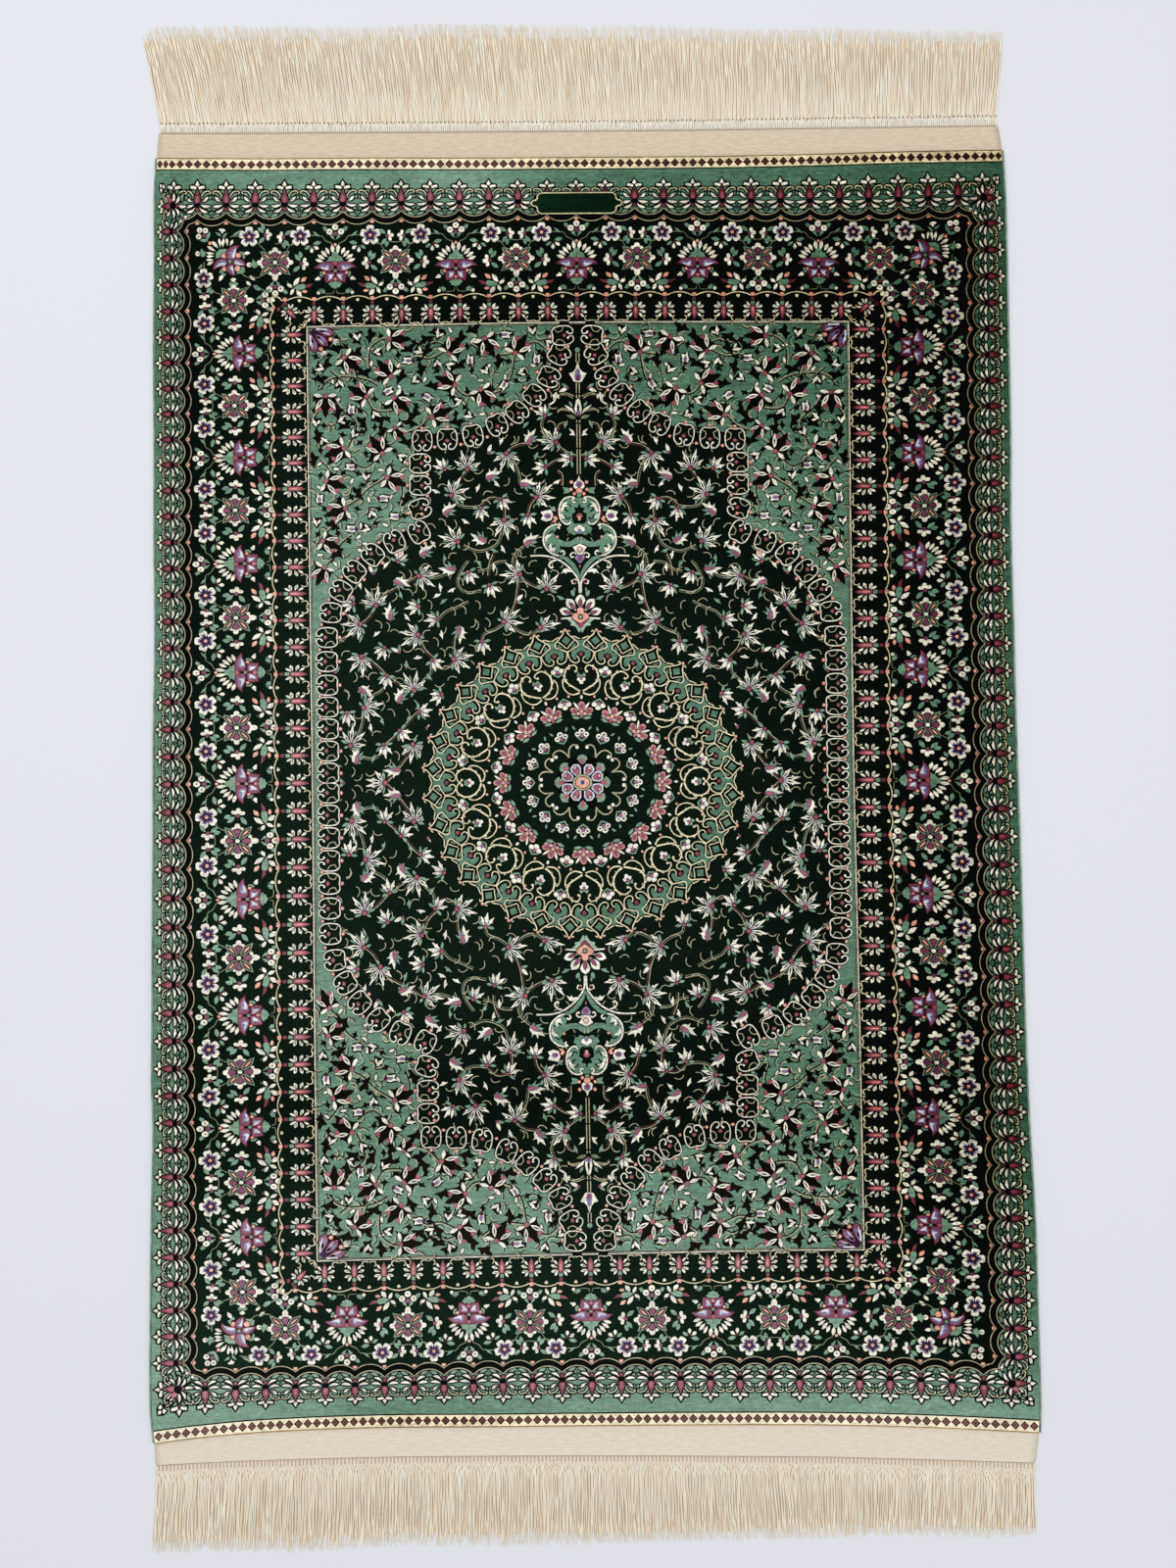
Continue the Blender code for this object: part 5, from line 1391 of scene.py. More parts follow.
def seams(spots, triangles, labels, slack=0.05):  # the lines where the yarn changes, without needless points
    corners = np.array(triangles)
    runs = np.sort(np.concatenate([corners[:, [0, 1]], corners[:, [1, 2]], corners[:, [2, 0]]]), axis=1)
    beside = np.tile(labels, 3)
    order = np.lexsort((runs[:, 1], runs[:, 0]))
    runs, beside = runs[order], beside[order]
    shared = np.all(runs[1:] == runs[:-1], axis=1)
    alike = shared & (beside[1:] == beside[:-1])
    inside = np.concatenate([[False], alike]) | np.concatenate([alike, [False]])
    repeated = np.concatenate([[False], shared])
    joined = {}
    for a, b in runs[~inside & ~repeated].tolist():
        joined.setdefault(a, set()).add(b)
        joined.setdefault(b, set()).add(a)
    place = [complex(*spot) for spot in spots]
    for k in list(joined):
        if len(joined[k]) != 2:
            continue
        a, b = joined[k]
        chord = place[b] - place[a]
        if b in joined[a] or abs(chord) > 12 or abs(((place[k] - place[a]) * chord.conjugate()).imag) > slack * abs(chord):
            continue
        joined[a].discard(k)
        joined[b].discard(k)
        joined[a].add(b)
        joined[b].add(a)
        del joined[k]
    names = {k: i for i, k in enumerate(joined)}
    points = [Vector(spots[k]) for k in joined]
    lines = []
    for a, b in [(a, b) for a in joined for b in joined[a] if a < b]:
        parts = max(1, math.ceil(abs(place[b] - place[a]) / 12))
        chain = [names[a]]
        for i in range(1, parts):
            chain.append(len(points))
            points.append(Vector(spots[a]).lerp(Vector(spots[b]), i / parts))
        chain.append(names[b])
        lines += zip(chain, chain[1:])
    return points, lines


def fewerTriangles(spots, triangles, labels):
    points, lines = seams(spots, triangles, labels)
    fewSpots, edges, few, a, b, owners = delaunay_2d_cdt(points, lines, [], 0, 1e-4)
    fewSpots = np.array([tuple(p) for p in fewSpots])
    tree = BVHTree.FromPolygons([(x, y, 0) for x, y in spots], triangles)
    few = np.array(few)
    middles = fewSpots[few].mean(axis=1)
    under = [tree.find_nearest(Vector((x, y, 0)))[2] for x, y in middles]
    return fewSpots, few, np.array([labels[k] for k in under])


def sunk(name, corners, faces, faceYarn, chart, span, material, top=rugSizes["pileTop"], low=rugSizes["pileLow"]):
    # corners on the rug in metres, chart = their chart position, span = the chart size that fills the bake
    mesh = bpy.data.meshes.new(name)
    mesh.from_pydata([(x, y, top * mm) for x, y in corners], [], faces)
    bm = bmesh.new()
    bm.from_mesh(mesh)
    bpy.data.meshes.remove(mesh)
    yarnLayer = bm.faces.layers.int.new("yarn")
    for face, yarn in zip(bm.faces, faceYarn):
        face[yarnLayer] = yarn
    chartLayer = bm.verts.layers.float_vector.new("chart")
    for vert, (u, v) in zip(bm.verts, chart):
        vert[chartLayer] = (abs(u) / span[0], abs(v) / span[1], 0)
    rim = [edge for edge in bm.edges if edge.is_boundary]
    walls = bmesh.ops.extrude_edge_only(bm, edges=rim)["geom"]
    for vert in [item for item in walls if isinstance(item, bmesh.types.BMVert)]:
        vert.co.z = low * mm
        vert[chartLayer][2] = 1
    loop = [item for item in walls if isinstance(item, bmesh.types.BMEdge) and item.is_boundary]
    bmesh.ops.triangle_fill(bm, edges=loop, use_beauty=False, use_dissolve=False)
    bmesh.ops.recalc_face_normals(bm, faces=bm.faces)
    bakeLayer = bm.loops.layers.uv.new("OFBake")
    for face in bm.faces:
        under = any(vert[chartLayer][2] for vert in face.verts)
        for corner in face.loops:
            s, t, lowered = corner.vert[chartLayer]
            corner[bakeLayer].uv = (s, 0.98 + 0.015 * t if under else 0.97 * t)
    palette = np.array([linear(rgb) + [1.0] for rgb in yarns.values()], np.float32)
    yarnOf = np.array([face[yarnLayer] for face in bm.faces])
    piece = addPiece(name, bm, material)
    counts = np.zeros(len(piece.data.polygons), np.int32)
    piece.data.polygons.foreach_get("loop_total", counts)
    colour = piece.data.color_attributes.new("yarnColour", "BYTE_COLOR", "CORNER")
    colour.data.foreach_set("color", np.repeat(palette[yarnOf], counts, axis=0).ravel())
    piece.data.color_attributes.active_color = colour
    return piece


# ---- materials

def blank(name):
    material = bpy.data.materials.new(name)
    material.use_nodes = True
    nodes, links = material.node_tree.nodes, material.node_tree.links
    return material, nodes, links, nodes["Principled BSDF"]


def node(nodes, kind, **settings):
    made = nodes.new(kind)
    for key, value in settings.items():
        setattr(made, key, value)
    return made


# painted sheen and shade: where the silk leans away from the light, painted into its colour as soft patches: across,
# along and reach in mm, and how much deeper its colours are painted
paintedSheenPatches = (
    {"x": 420, "y": 560, "wide": 320, "long": 280, "gain": 0.44},
    {"x": 430, "y": 0, "wide": 190, "long": 640, "gain": 0.66},
    {"x": 80, "y": 420, "wide": 300, "long": 220, "gain": 0.22},
    {"x": 60, "y": -40, "wide": 260, "long": 300, "gain": 0.08},
    {"x": 20, "y": 556, "wide": 100, "long": 26, "gain": 0.14},
    {"x": -100, "y": 566, "wide": 56, "long": 22, "gain": -0.24},
    {"x": -410, "y": 480, "wide": 60, "long": 200, "gain": 0.20},
    {"x": -410, "y": -300, "wide": 60, "long": 120, "gain": 0.12},
    {"x": -400, "y": -590, "wide": 120, "long": 100, "gain": -0.18},
    {"x": -160, "y": -590, "wide": 90, "long": 40, "gain": 0.20},
    {"x": 380, "y": -592, "wide": 220, "long": 60, "gain": -0.34},
    {"x": 415, "y": -360, "wide": 90, "long": 140, "gain": 0.24},
    {"x": 0, "y": 460, "wide": 460, "long": 110, "gain": 0.18},
    {"x": 0, "y": -290, "wide": 460, "long": 60, "gain": 0.20},
    {"x": -380, "y": 280, "wide": 80, "long": 240, "gain": 0.16},
    {"x": 280, "y": -340, "wide": 190, "long": 170, "gain": 0.10},
    {"x": -210, "y": 390, "wide": 130, "long": 100, "gain": 0.08},
    {"x": -396, "y": 0, "wide": 44, "long": 460, "gain": 0.10},
    {"x": 0, "y": -480, "wide": 500, "long": 110, "gain": -0.04},
)


def lean(nodes, links, place):  # painted sheen and shade: how deep the pile's colours are painted, from where it lies on the rug
    total = 1.0
    for patch in paintedSheenPatches:
        centre = placed(patch["x"], patch["y"])
        off = node(nodes, "ShaderNodeVectorMath", operation="SUBTRACT")
        off.inputs[1].default_value = (*centre, 0)
        links.new(place, off.inputs[0])
        reach = node(nodes, "ShaderNodeVectorMath", operation="MULTIPLY")
        reach.inputs[1].default_value = (1 / patch["wide"] / mm, 1 / patch["long"] / mm, 0)
        links.new(off.outputs["Vector"], reach.inputs[0])
        square = node(nodes, "ShaderNodeVectorMath", operation="DOT_PRODUCT")
        links.new(reach.outputs["Vector"], square.inputs[0])
        links.new(reach.outputs["Vector"], square.inputs[1])
        fall = node(nodes, "ShaderNodeMath", operation="POWER")
        fall.inputs[0].default_value = 0.368
        links.new(square.outputs["Value"], fall.inputs[1])
        gained = node(nodes, "ShaderNodeMath", operation="MULTIPLY_ADD")
        gained.inputs[1].default_value = patch["gain"]
        links.new(fall.outputs["Value"], gained.inputs[0])
        if isinstance(total, float):
            gained.inputs[2].default_value = total
        else:
            links.new(total, gained.inputs[2])
        total = gained.outputs["Value"]
    return total


def speckle(nodes, links, place, scale, detail):
    stretch = node(nodes, "ShaderNodeMapping")
    stretch.inputs["Scale"].default_value = scale
    links.new(place.outputs["Object"], stretch.inputs["Vector"])
    noise = node(nodes, "ShaderNodeTexNoise")
    noise.inputs["Scale"].default_value = 1.0
    noise.inputs["Detail"].default_value = detail
    links.new(stretch.outputs["Vector"], noise.inputs["Vector"])
    return noise.outputs["Fac"]


def shadeFrom(nodes, links, source, low, high, darkest=0.0, lightest=1.0):  # a reading turned into a shade
    shade = node(nodes, "ShaderNodeMapRange")
    for key, value in (("From Min", low), ("From Max", high), ("To Min", darkest), ("To Max", lightest)):
        shade.inputs[key].default_value = value
    links.new(source, shade.inputs["Value"])
    return shade.outputs["Result"]


def product(nodes, links, one, two):
    made = node(nodes, "ShaderNodeMath", operation="MULTIPLY")
    links.new(one, made.inputs[0])
    links.new(two, made.inputs[1])
    return made.outputs["Value"]


# the dimming and the tuft specks paint sheen and shade into the pile's colour; knots, bands and bump are the pile's own
pileLooks = {
    "knots": (1100, 1400, 1), "unevenness": 0.55, "knotShade": (0.80, 1.20),
    "bands": (26, 120, 1), "bandShade": (0.84, 1.16), "sheenTufts": (150, 520, 1), "sheenTuftShade": (0.78, 1.24),
    "noiseRange": (0.3, 0.7), "paintedShadeDimming": 0.26, "bump": 0.35, "bumpHeight": 0.4, "roughness": 0.72, "gloss": 0.04,
}


def silkPile():
    material, nodes, links, shader = blank("silk pile")
    yarn = node(nodes, "ShaderNodeVertexColor", layer_name="yarnColour")
    place = node(nodes, "ShaderNodeTexCoord")
    rows = node(nodes, "ShaderNodeMapping")
    rows.inputs["Scale"].default_value = pileLooks["knots"]
    links.new(place.outputs["Object"], rows.inputs["Vector"])
    knots = node(nodes, "ShaderNodeTexVoronoi", feature="F1")
    knots.inputs["Scale"].default_value = 1.0
    knots.inputs["Randomness"].default_value = pileLooks["unevenness"]
    links.new(rows.outputs["Vector"], knots.inputs["Vector"])
    grey = node(nodes, "ShaderNodeSeparateColor")
    links.new(knots.outputs["Color"], grey.inputs["Color"])
    mottled = shadeFrom(nodes, links, grey.outputs["Red"], 0.0, 1.0, *pileLooks["knotShade"])
    # dye lots show as faint bands across the rug, and small tufts are painted lighter and darker as specks of sheen
    for scale, detail, shades in ((pileLooks["bands"], 3.0, pileLooks["bandShade"]),
                                  (pileLooks["sheenTufts"], 2.0, pileLooks["sheenTuftShade"])):
        shade = shadeFrom(nodes, links, speckle(nodes, links, place, scale, detail), *pileLooks["noiseRange"], *shades)
        mottled = product(nodes, links, mottled, shade)
    # painted sheen and shade: the pile's colour is deepened and dimmed patch by patch, standing in for how the light
    # falls on the silk
    paintedSheenDepth = lean(nodes, links, place.outputs["Object"])
    dim = node(nodes, "ShaderNodeMath", operation="MULTIPLY_ADD")
    links.new(paintedSheenDepth, dim.inputs[0])
    dim.inputs[1].default_value = -pileLooks["paintedShadeDimming"]
    dim.inputs[2].default_value = 1 + pileLooks["paintedShadeDimming"]
    tint = node(nodes, "ShaderNodeVectorMath", operation="SCALE")
    links.new(yarn.outputs["Color"], tint.inputs[0])
    links.new(product(nodes, links, mottled, dim.outputs["Value"]), tint.inputs["Scale"])
    # the painted sheen and shade deepen the colour through this gamma
    depth = node(nodes, "ShaderNodeGamma")
    links.new(tint.outputs["Vector"], depth.inputs["Color"])
    links.new(paintedSheenDepth, depth.inputs["Gamma"])
    links.new(depth.outputs["Color"], shader.inputs["Base Color"])
    bump = node(nodes, "ShaderNodeBump")
    bump.inputs["Strength"].default_value = pileLooks["bump"]
    bump.inputs["Distance"].default_value = pileLooks["bumpHeight"] * mm
    links.new(knots.outputs["Distance"], bump.inputs["Height"])
    links.new(bump.outputs["Normal"], shader.inputs["Normal"])
    shader.inputs["Roughness"].default_value = pileLooks["roughness"]
    shader.inputs["Specular IOR Level"].default_value = pileLooks["gloss"]
    return material


def spunYarn(name, colour, dark, scale, contrast=0.5):
    material, nodes, links, shader = blank(name)
    place = node(nodes, "ShaderNodeTexCoord")
    ramp = node(nodes, "ShaderNodeValToRGB")
    ramp.color_ramp.elements[0].position = 0.5 - contrast / 2
    ramp.color_ramp.elements[0].color = (*linear(dark), 1)
    ramp.color_ramp.elements[1].position = 0.5 + contrast / 2
    ramp.color_ramp.elements[1].color = (*linear(colour), 1)
    links.new(speckle(nodes, links, place, scale, 4.0), ramp.inputs["Fac"])
    links.new(ramp.outputs["Color"], shader.inputs["Base Color"])
    shader.inputs["Roughness"].default_value = 0.8
    shader.inputs["Specular IOR Level"].default_value = 0.2
    return material


pileMaterial = silkPile()
cordMaterial = spunYarn("sea green selvedge silk", (170, 192, 174), (84, 112, 96), (300, 90, 300))
webMaterials = {"Top": spunYarn("flat woven web", (242, 228, 206), (212, 192, 166), (120, 560, 26), contrast=0.7),
                "Bottom": spunYarn("paler flat woven web", (250, 242, 228), (228, 214, 194), (120, 560, 26), contrast=0.7)}
warpMaterial = spunYarn("bare white warps", (255, 253, 244), (232, 222, 204), (500, 120, 500))
# painted shade: the fringe mat is darker than the yarns so the gaps between them read as shadow
matShadeMaterial = spunYarn("fringe silk darkened as painted shade", (240, 220, 194), (198, 174, 148), (700, 30, 26), contrast=0.7)
# painted shadow: the dark colour of the studs that stand in the pinholes
holeShadowMaterial = spunYarn("shadow in the knots", (134, 108, 88), (96, 74, 60), (300, 300, 300))
fringeMaterial = spunYarn("undyed fringe silk", (255, 253, 240), (250, 232, 206), (520, 26, 520), contrast=0.4)
baseMaterial = spunYarn("rug foundation", (150, 150, 130), (90, 96, 84), (600, 600, 600))


# ---- foundation: the cloth the knots are tied on, and the sheet that everything lies on

def foundation():
    inset = rugSizes["selvedge"] + rugSizes["gap"]
    corners = [sideAt(590, "left")[0] + inset, sideAt(590, "right")[0] - inset,
               sideAt(-591, "right")[0] - inset, sideAt(-591, "left")[0] + inset]
    topRow = np.linspace(corners[0], corners[1], 31)
    lowRow = np.linspace(corners[2], corners[3], 31)
    rightColumn = np.linspace(endAt(corners[1], "pileTop")[0], endAt(corners[2], "pileBottom")[0], 41)[1:-1]
    leftColumn = np.linspace(endAt(corners[3], "pileBottom")[0], endAt(corners[0], "pileTop")[0], 41)[1:-1]
    outline = list(zip(topRow, endAt(topRow, "pileTop")))
    outline += list(zip(sideAt(rightColumn, "right") - inset, rightColumn))
    outline += list(zip(lowRow, endAt(lowRow, "pileBottom")))
    outline += list(zip(sideAt(leftColumn, "left") + inset, leftColumn))
    bm = bmesh.new()
    face = bm.faces.new([bm.verts.new((*placed(x, y), 0)) for x, y in outline])
    made = bmesh.ops.extrude_face_region(bm, geom=[face])["geom"]
    bmesh.ops.translate(bm, verts=[item for item in made if isinstance(item, bmesh.types.BMVert)],
                        vec=(0, 0, rugSizes["foundation"] * mm))
    bmesh.ops.recalc_face_normals(bm, faces=bm.faces)
    return addPiece("foundation", bm, baseMaterial)


def buildPile():
    spots, triangles, owners = partition([outline for name, outline, span in zones] + [z for yarn, z in laid])
    yarnNames = list(yarns)
    zoneCount = len(zones)
    labels, kept = [], []
    for triangle, ids in zip(triangles, owners):
        if 0 not in ids or max(ids) < zoneCount:
            continue
        top = max(ids)
        zone = max(i for i in ids if i < zoneCount)
        labels.append(zone * len(yarnNames) + yarnNames.index(laid[top - zoneCount][0]))
        kept.append(triangle)
    print("quarter partition:", len(kept), "triangles", len(spots), "points")
    spots, kept, labels = fewerTriangles(spots, kept, np.array(labels))
    zoneOf, yarnOf = labels // len(yarnNames), labels % len(yarnNames)
    print("where the yarn changes:", len(kept), "triangles", len(spots), "points")
    onMiddle, onWaist = np.abs(spots[:, 0]) < 1e-4, np.abs(spots[:, 1]) < 1e-4
    spots[onMiddle, 0] = 0
    spots[onWaist, 1] = 0
    total = len(spots)
    pieces = []
    for zone, (name, outline, span) in enumerate(zones):
        chosen = np.nonzero(zoneOf == zone)[0]
        if not len(chosen):
            continue
        faces, colours = [], []
        for right in (0, 1):
            for low in (0, 1):
                names = np.arange(total) + total * (np.where(onMiddle, 0, right) + 2 * np.where(onWaist, 0, low))
                quarter = names[kept[chosen]]
                faces.append(quarter if right == low else quarter[:, ::-1])
                colours.append(yarnOf[chosen])
        faces, colours = np.concatenate(faces), np.concatenate(colours)
        used, compact = np.unique(faces, return_inverse=True)
        compact = compact.reshape(faces.shape)
        quarterOf, which = used // total, used % total
        u = spots[which, 0] * np.where(quarterOf % 2, -1, 1)
        v = spots[which, 1] * np.where(quarterOf // 2, -1, 1)
        x, y = placed(*onTheRug(u, v))
        piece = sunk(name, np.stack([x, y], 1), compact.tolist(), colours.tolist(), np.stack([u, v], 1).tolist(),
                     span, pileMaterial)
        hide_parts("pile")
        pieces.append(piece)
        print(name, len(piece.data.polygons), "faces")
    return pieces


def buildCartouche():  # the plate woven into the top guard, bare inside its cream line
    plate = {"u": 0.4, "v": 542.8, "line": 1.1, "edge": 0.9, "proud": 0.25, "low": 0.4, "span": (46, 13)}
    quarter = [43 + 0.8j, 40.4 + 3.3j, 38.2 + 3.5j, 37.2 + 4.8j, 37.2 + 6.8j, 35.8 + 9.3j, 33 + 10.7j, 8 + 10.7j]
    half = quarter + [-z.conjugate() for z in quarter[::-1]]
    outline = half + [-z for z in half]
    layers = [("ink", grown(outline, plate["edge"])), ("straw", outline), ("fir", grown(outline, -plate["line"]))]
    spots, triangles, owners = partition([shape for yarn, shape in layers])
    chosen = [(triangle, max(ids)) for triangle, ids in zip(triangles, owners) if 0 in ids]
    labels = np.array([list(yarns).index(layers[top][0]) for triangle, top in chosen])
    spots, faces, labels = fewerTriangles(spots, [triangle for triangle, top in chosen], labels)
    x, y = placed(*onTheRug(spots[:, 0] + plate["u"], spots[:, 1] + plate["v"]))
    piece = sunk("cartouche", np.stack([x, y], 1), faces.tolist(), labels.tolist(), spots.tolist(), plate["span"],
                 pileMaterial, rugSizes["pileTop"] + plate["proud"], rugSizes["pileTop"] - plate["low"])
    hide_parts("pile")
    return piece


base = foundation()
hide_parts("pile")
pilePieces = buildPile() + [buildCartouche()]


# ---- selvedges: silk wrapped round the outer cords

def closeTube(bm):
    bmesh.ops.remove_doubles(bm, verts=bm.verts, dist=1e-6)
    bmesh.ops.edgeloop_fill(bm, edges=[edge for edge in bm.edges if edge.is_boundary])


def selvedge(side):
    sign = {"left": -1, "right": 1}[side]
    cordSizes = {"wide": 2.6, "high": 3.4, "wrap": 3.0, "stepsPerWrap": 4, "around": 8, "groove": 0.16}
    top = min(endAt(sideAt(590, side) - sign * k, "pileTop")[0] for k in (0, 2.6))
    bottom = max(endAt(sideAt(-591, side) - sign * k, "pileBottom")[0] for k in (0, 2.6))
    rings = int((top - bottom) / cordSizes["wrap"] * cordSizes["stepsPerWrap"])
    along = np.linspace(bottom, top, rings)
    x, y = placed(sideAt(along, side) - sign * cordSizes["wide"] / 2, along)
    bm = bmesh.new()
    bmesh.ops.create_grid(bm, x_segments=cordSizes["around"], y_segments=rings - 1, size=1)
    for vert in bm.verts:
        turn = (vert.co.x + 1) / 2
        k = round((vert.co.y + 1) / 2 * (rings - 1))
        wrap = abs(math.sin(math.pi * (k / cordSizes["stepsPerWrap"] + turn * sign)))
        full = 1 - cordSizes["groove"] * (1 - wrap)
        vert.co = (x[k] + math.cos(2 * math.pi * turn) * full * cordSizes["wide"] / 2 * mm, y[k],
                   (1 + math.sin(2 * math.pi * turn) * full) * cordSizes["high"] / 2 * mm)
    closeTube(bm)
    bmesh.ops.recalc_face_normals(bm, faces=bm.faces)
    piece = addPiece("selvedge_" + side, bm, cordMaterial)
    piece.data.shade_smooth()
    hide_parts("overcast_" + side)
    return piece


# ---- flat-woven ends, with their weft ribs

def web(end):
    webSizes = {"ribs": 22, "stepsPerRib": 4, "across": 110, "ribHigh": 0.42, "foot": 1.15}
    sign = 1 if end == "Top" else -1
    corner = 590 if end == "Top" else -591
    leftInset, rightInset = webInset[end]
    inner = (sideAt(corner, "left")[0] + 1.4, sideAt(corner, "right")[0] - 1.4)
    outer = (sideAt(corner, "left")[0] + leftInset, sideAt(corner, "right")[0] - rightInset)
    rows = webSizes["ribs"] * webSizes["stepsPerRib"]
    bm = bmesh.new()
    bmesh.ops.create_grid(bm, x_segments=webSizes["across"], y_segments=rows, size=1)
    verts = bm.verts[:]
    share = np.array([(vert.co.x + 1) / 2 for vert in verts])
    depth = np.array([(vert.co.y + 1) / 2 for vert in verts])
    nearX = inner[0] + (inner[1] - inner[0]) * share
    farX = outer[0] + (outer[1] - outer[0]) * share
    nearY, farY = endAt(nearX, "pile" + end) + sign * rugSizes["gap"], endAt(farX, "web" + end)
    wander = 0.35 * np.sin(nearX / 37 + 3 * depth) * np.sin(math.pi * depth)
    x, y = placed(nearX + (farX - nearX) * depth, nearY + (farY - nearY) * depth + wander)
    rib = np.abs(np.sin(math.pi * depth * webSizes["ribs"])) ** 0.7
    for k, vert in enumerate(verts):
        vert.co = (x[k], y[k], (webSizes["foot"] + webSizes["ribHigh"] * rib[k]) * mm)
    made = bmesh.ops.extrude_edge_only(bm, edges=[edge for edge in bm.edges if edge.is_boundary])["geom"]
    for item in made:
        if isinstance(item, bmesh.types.BMVert):
            item.co.z = 0
    bmesh.ops.edgeloop_fill(bm, edges=[edge for edge in bm.edges if edge.is_boundary])
    bmesh.ops.recalc_face_normals(bm, faces=bm.faces)
    piece = addPiece("web_" + end.lower(), bm, webMaterials[end])
    piece.data.shade_smooth()
    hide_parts("kelim_" + end.lower())
    return piece


def strands(name, paths, radius, material, sides=0):
    curve = bpy.data.curves.new(name, "CURVE")
    curve.dimensions = "3D"
    curve.bevel_depth = radius * mm
    curve.bevel_resolution = sides
    curve.use_fill_caps = True
    for path in paths:
        spline = curve.splines.new("POLY")
        spline.points.add(len(path) - 1)
        for point, (x, y, z, thick) in zip(spline.points, path):
            px, py = placed(x, y)
            point.co = (px, py, z * mm, 1)
            point.radius = thick
    holder = bpy.data.objects.new(name + "Curve", curve)
    scene.collection.objects.link(holder)
    mesh = bpy.data.meshes.new_from_object(holder.evaluated_get(bpy.context.evaluated_depsgraph_get()))
    bpy.data.objects.remove(holder, do_unlink=True)
    bm = bmesh.new()
    bm.from_mesh(mesh)
    bpy.data.meshes.remove(mesh)
    bmesh.ops.recalc_face_normals(bm, faces=bm.faces)
    for face in bm.faces:
        face.material_index = 0
    piece = addPiece(name, bm, material)
    piece.data.shade_smooth()
    return piece


# ---- the bare warps beyond each web, and the fringe

def warpRow(end):
    rowSizes = {"pitch": 1.95 if end == "Top" else 3.4, "radius": 0.92 if end == "Top" else 1.45,
                "high": 1.3 if end == "Top" else 0.9,
                "start": -0.6, "stop": 7.9, "points": 5}
    sign = 1 if end == "Top" else -1
    corner = 590 if end == "Top" else -591
    left = sideAt(corner, "left")[0] + webInset[end][0] + 1.5
    right = sideAt(corner, "right")[0] - webInset[end][1] - 1.5
    draw = random.Random(31 if end == "Top" else 32)
    paths = []
    for x in np.linspace(left, right, int((right - left) / rowSizes["pitch"])):
        near = endAt(x, "web" + end)[0]
        lean = draw.uniform(-0.5, 0.5)
        path = []
        for t in np.linspace(0, 1, rowSizes["points"]):
            along = rowSizes["start"] + (rowSizes["stop"] - rowSizes["start"]) * t
            thick = 0.62 + 0.38 * math.sin(math.pi * min(1, t * 1.15)) ** 0.5 + 0.06 * draw.random()
            path.append((x + lean * t, near + sign * (along + rugSizes["gap"] + 0.9), rowSizes["high"], thick))
        paths.append(path)
    piece = strands("warps_" + end.lower(), paths, rowSizes["radius"], warpMaterial if end == "Top" else webMaterials[end],
                    1)
    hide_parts("fringe_" + end.lower())
    return piece


def fringe(end):
    yarnSizes = {"pitch": 1.24, "radius": 0.68, "points": 19, "crimp": 0.6, "crimpLength": 3.6, "wander": 1.1}
    sign = 1 if end == "Top" else -1
    corner = 590 if end == "Top" else -591
    left = sideAt(corner, "left")[0] + webInset[end][0] + 0.8
    right = sideAt(corner, "right")[0] - webInset[end][1] - 0.8
    draw = random.Random(41 if end == "Top" else 42)
    key = end.lower()
    count = int((right - left) / yarnSizes["pitch"])
    lockPhase = [draw.uniform(0, 2 * math.pi) for k in range(200)]
    paths = []
    for k in range(count):
        share = (k + 0.5) / count
        over = k % 2  # every other yarn lies on top of its neighbours
        rootX = left + (right - left) * share
        rootY = endAt(rootX, "root" + end)[0] - sign * (1.6 + 0.5 * over)
        weights = between(fringeTips[key + "Share"], share)[0]
        tipX = weights @ np.array(fringeTips[key + "Across"]) + draw.uniform(-0.9, 0.9)
        tipY = weights @ np.array(fringeTips[key + "Along"]) + sign * (1 - abs(draw.gauss(0, 2.6)))
        phase, ownPhase = lockPhase[int(k / 7)], draw.uniform(0, 2 * math.pi)
        height = (1.35 if over else 0.75) + draw.uniform(0, 0.7)
        length = abs(tipY - rootY)
        path = []
        for i in range(yarnSizes["points"]):
            t = i / (yarnSizes["points"] - 1)
            t = t * (0.5 + 0.5 * t)
            run = t * length
            crimp = yarnSizes["crimp"] * math.sin(2 * math.pi * run / yarnSizes["crimpLength"] + ownPhase) * math.exp(-run / 14)
            wander = yarnSizes["wander"] * t * (over * math.sin(phase + run / 13) + 0.5 * math.sin(ownPhase + run / 7.5))
            x = rootX + (tipX - rootX) * t ** 1.15 + crimp + wander
            y = rootY + (tipY - rootY) * t
            z = 0.75 + (height - 0.75) * math.sin(math.pi * min(1, 1.2 * t)) ** 0.5 * (1 if t < 0.83 else 1 - 3 * (t - 0.83))
            path.append((x, y, max(z, 0.72),
                         (1.0 - 0.2 * t) * (1 if i < yarnSizes["points"] - 2 else 0.8 if i < yarnSizes["points"] - 1 else 0.4)))
        paths.append(path)
    piece = strands("fringeYarns_" + key, paths, yarnSizes["radius"], fringeMaterial)
    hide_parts("fringe_" + key)
    return piece


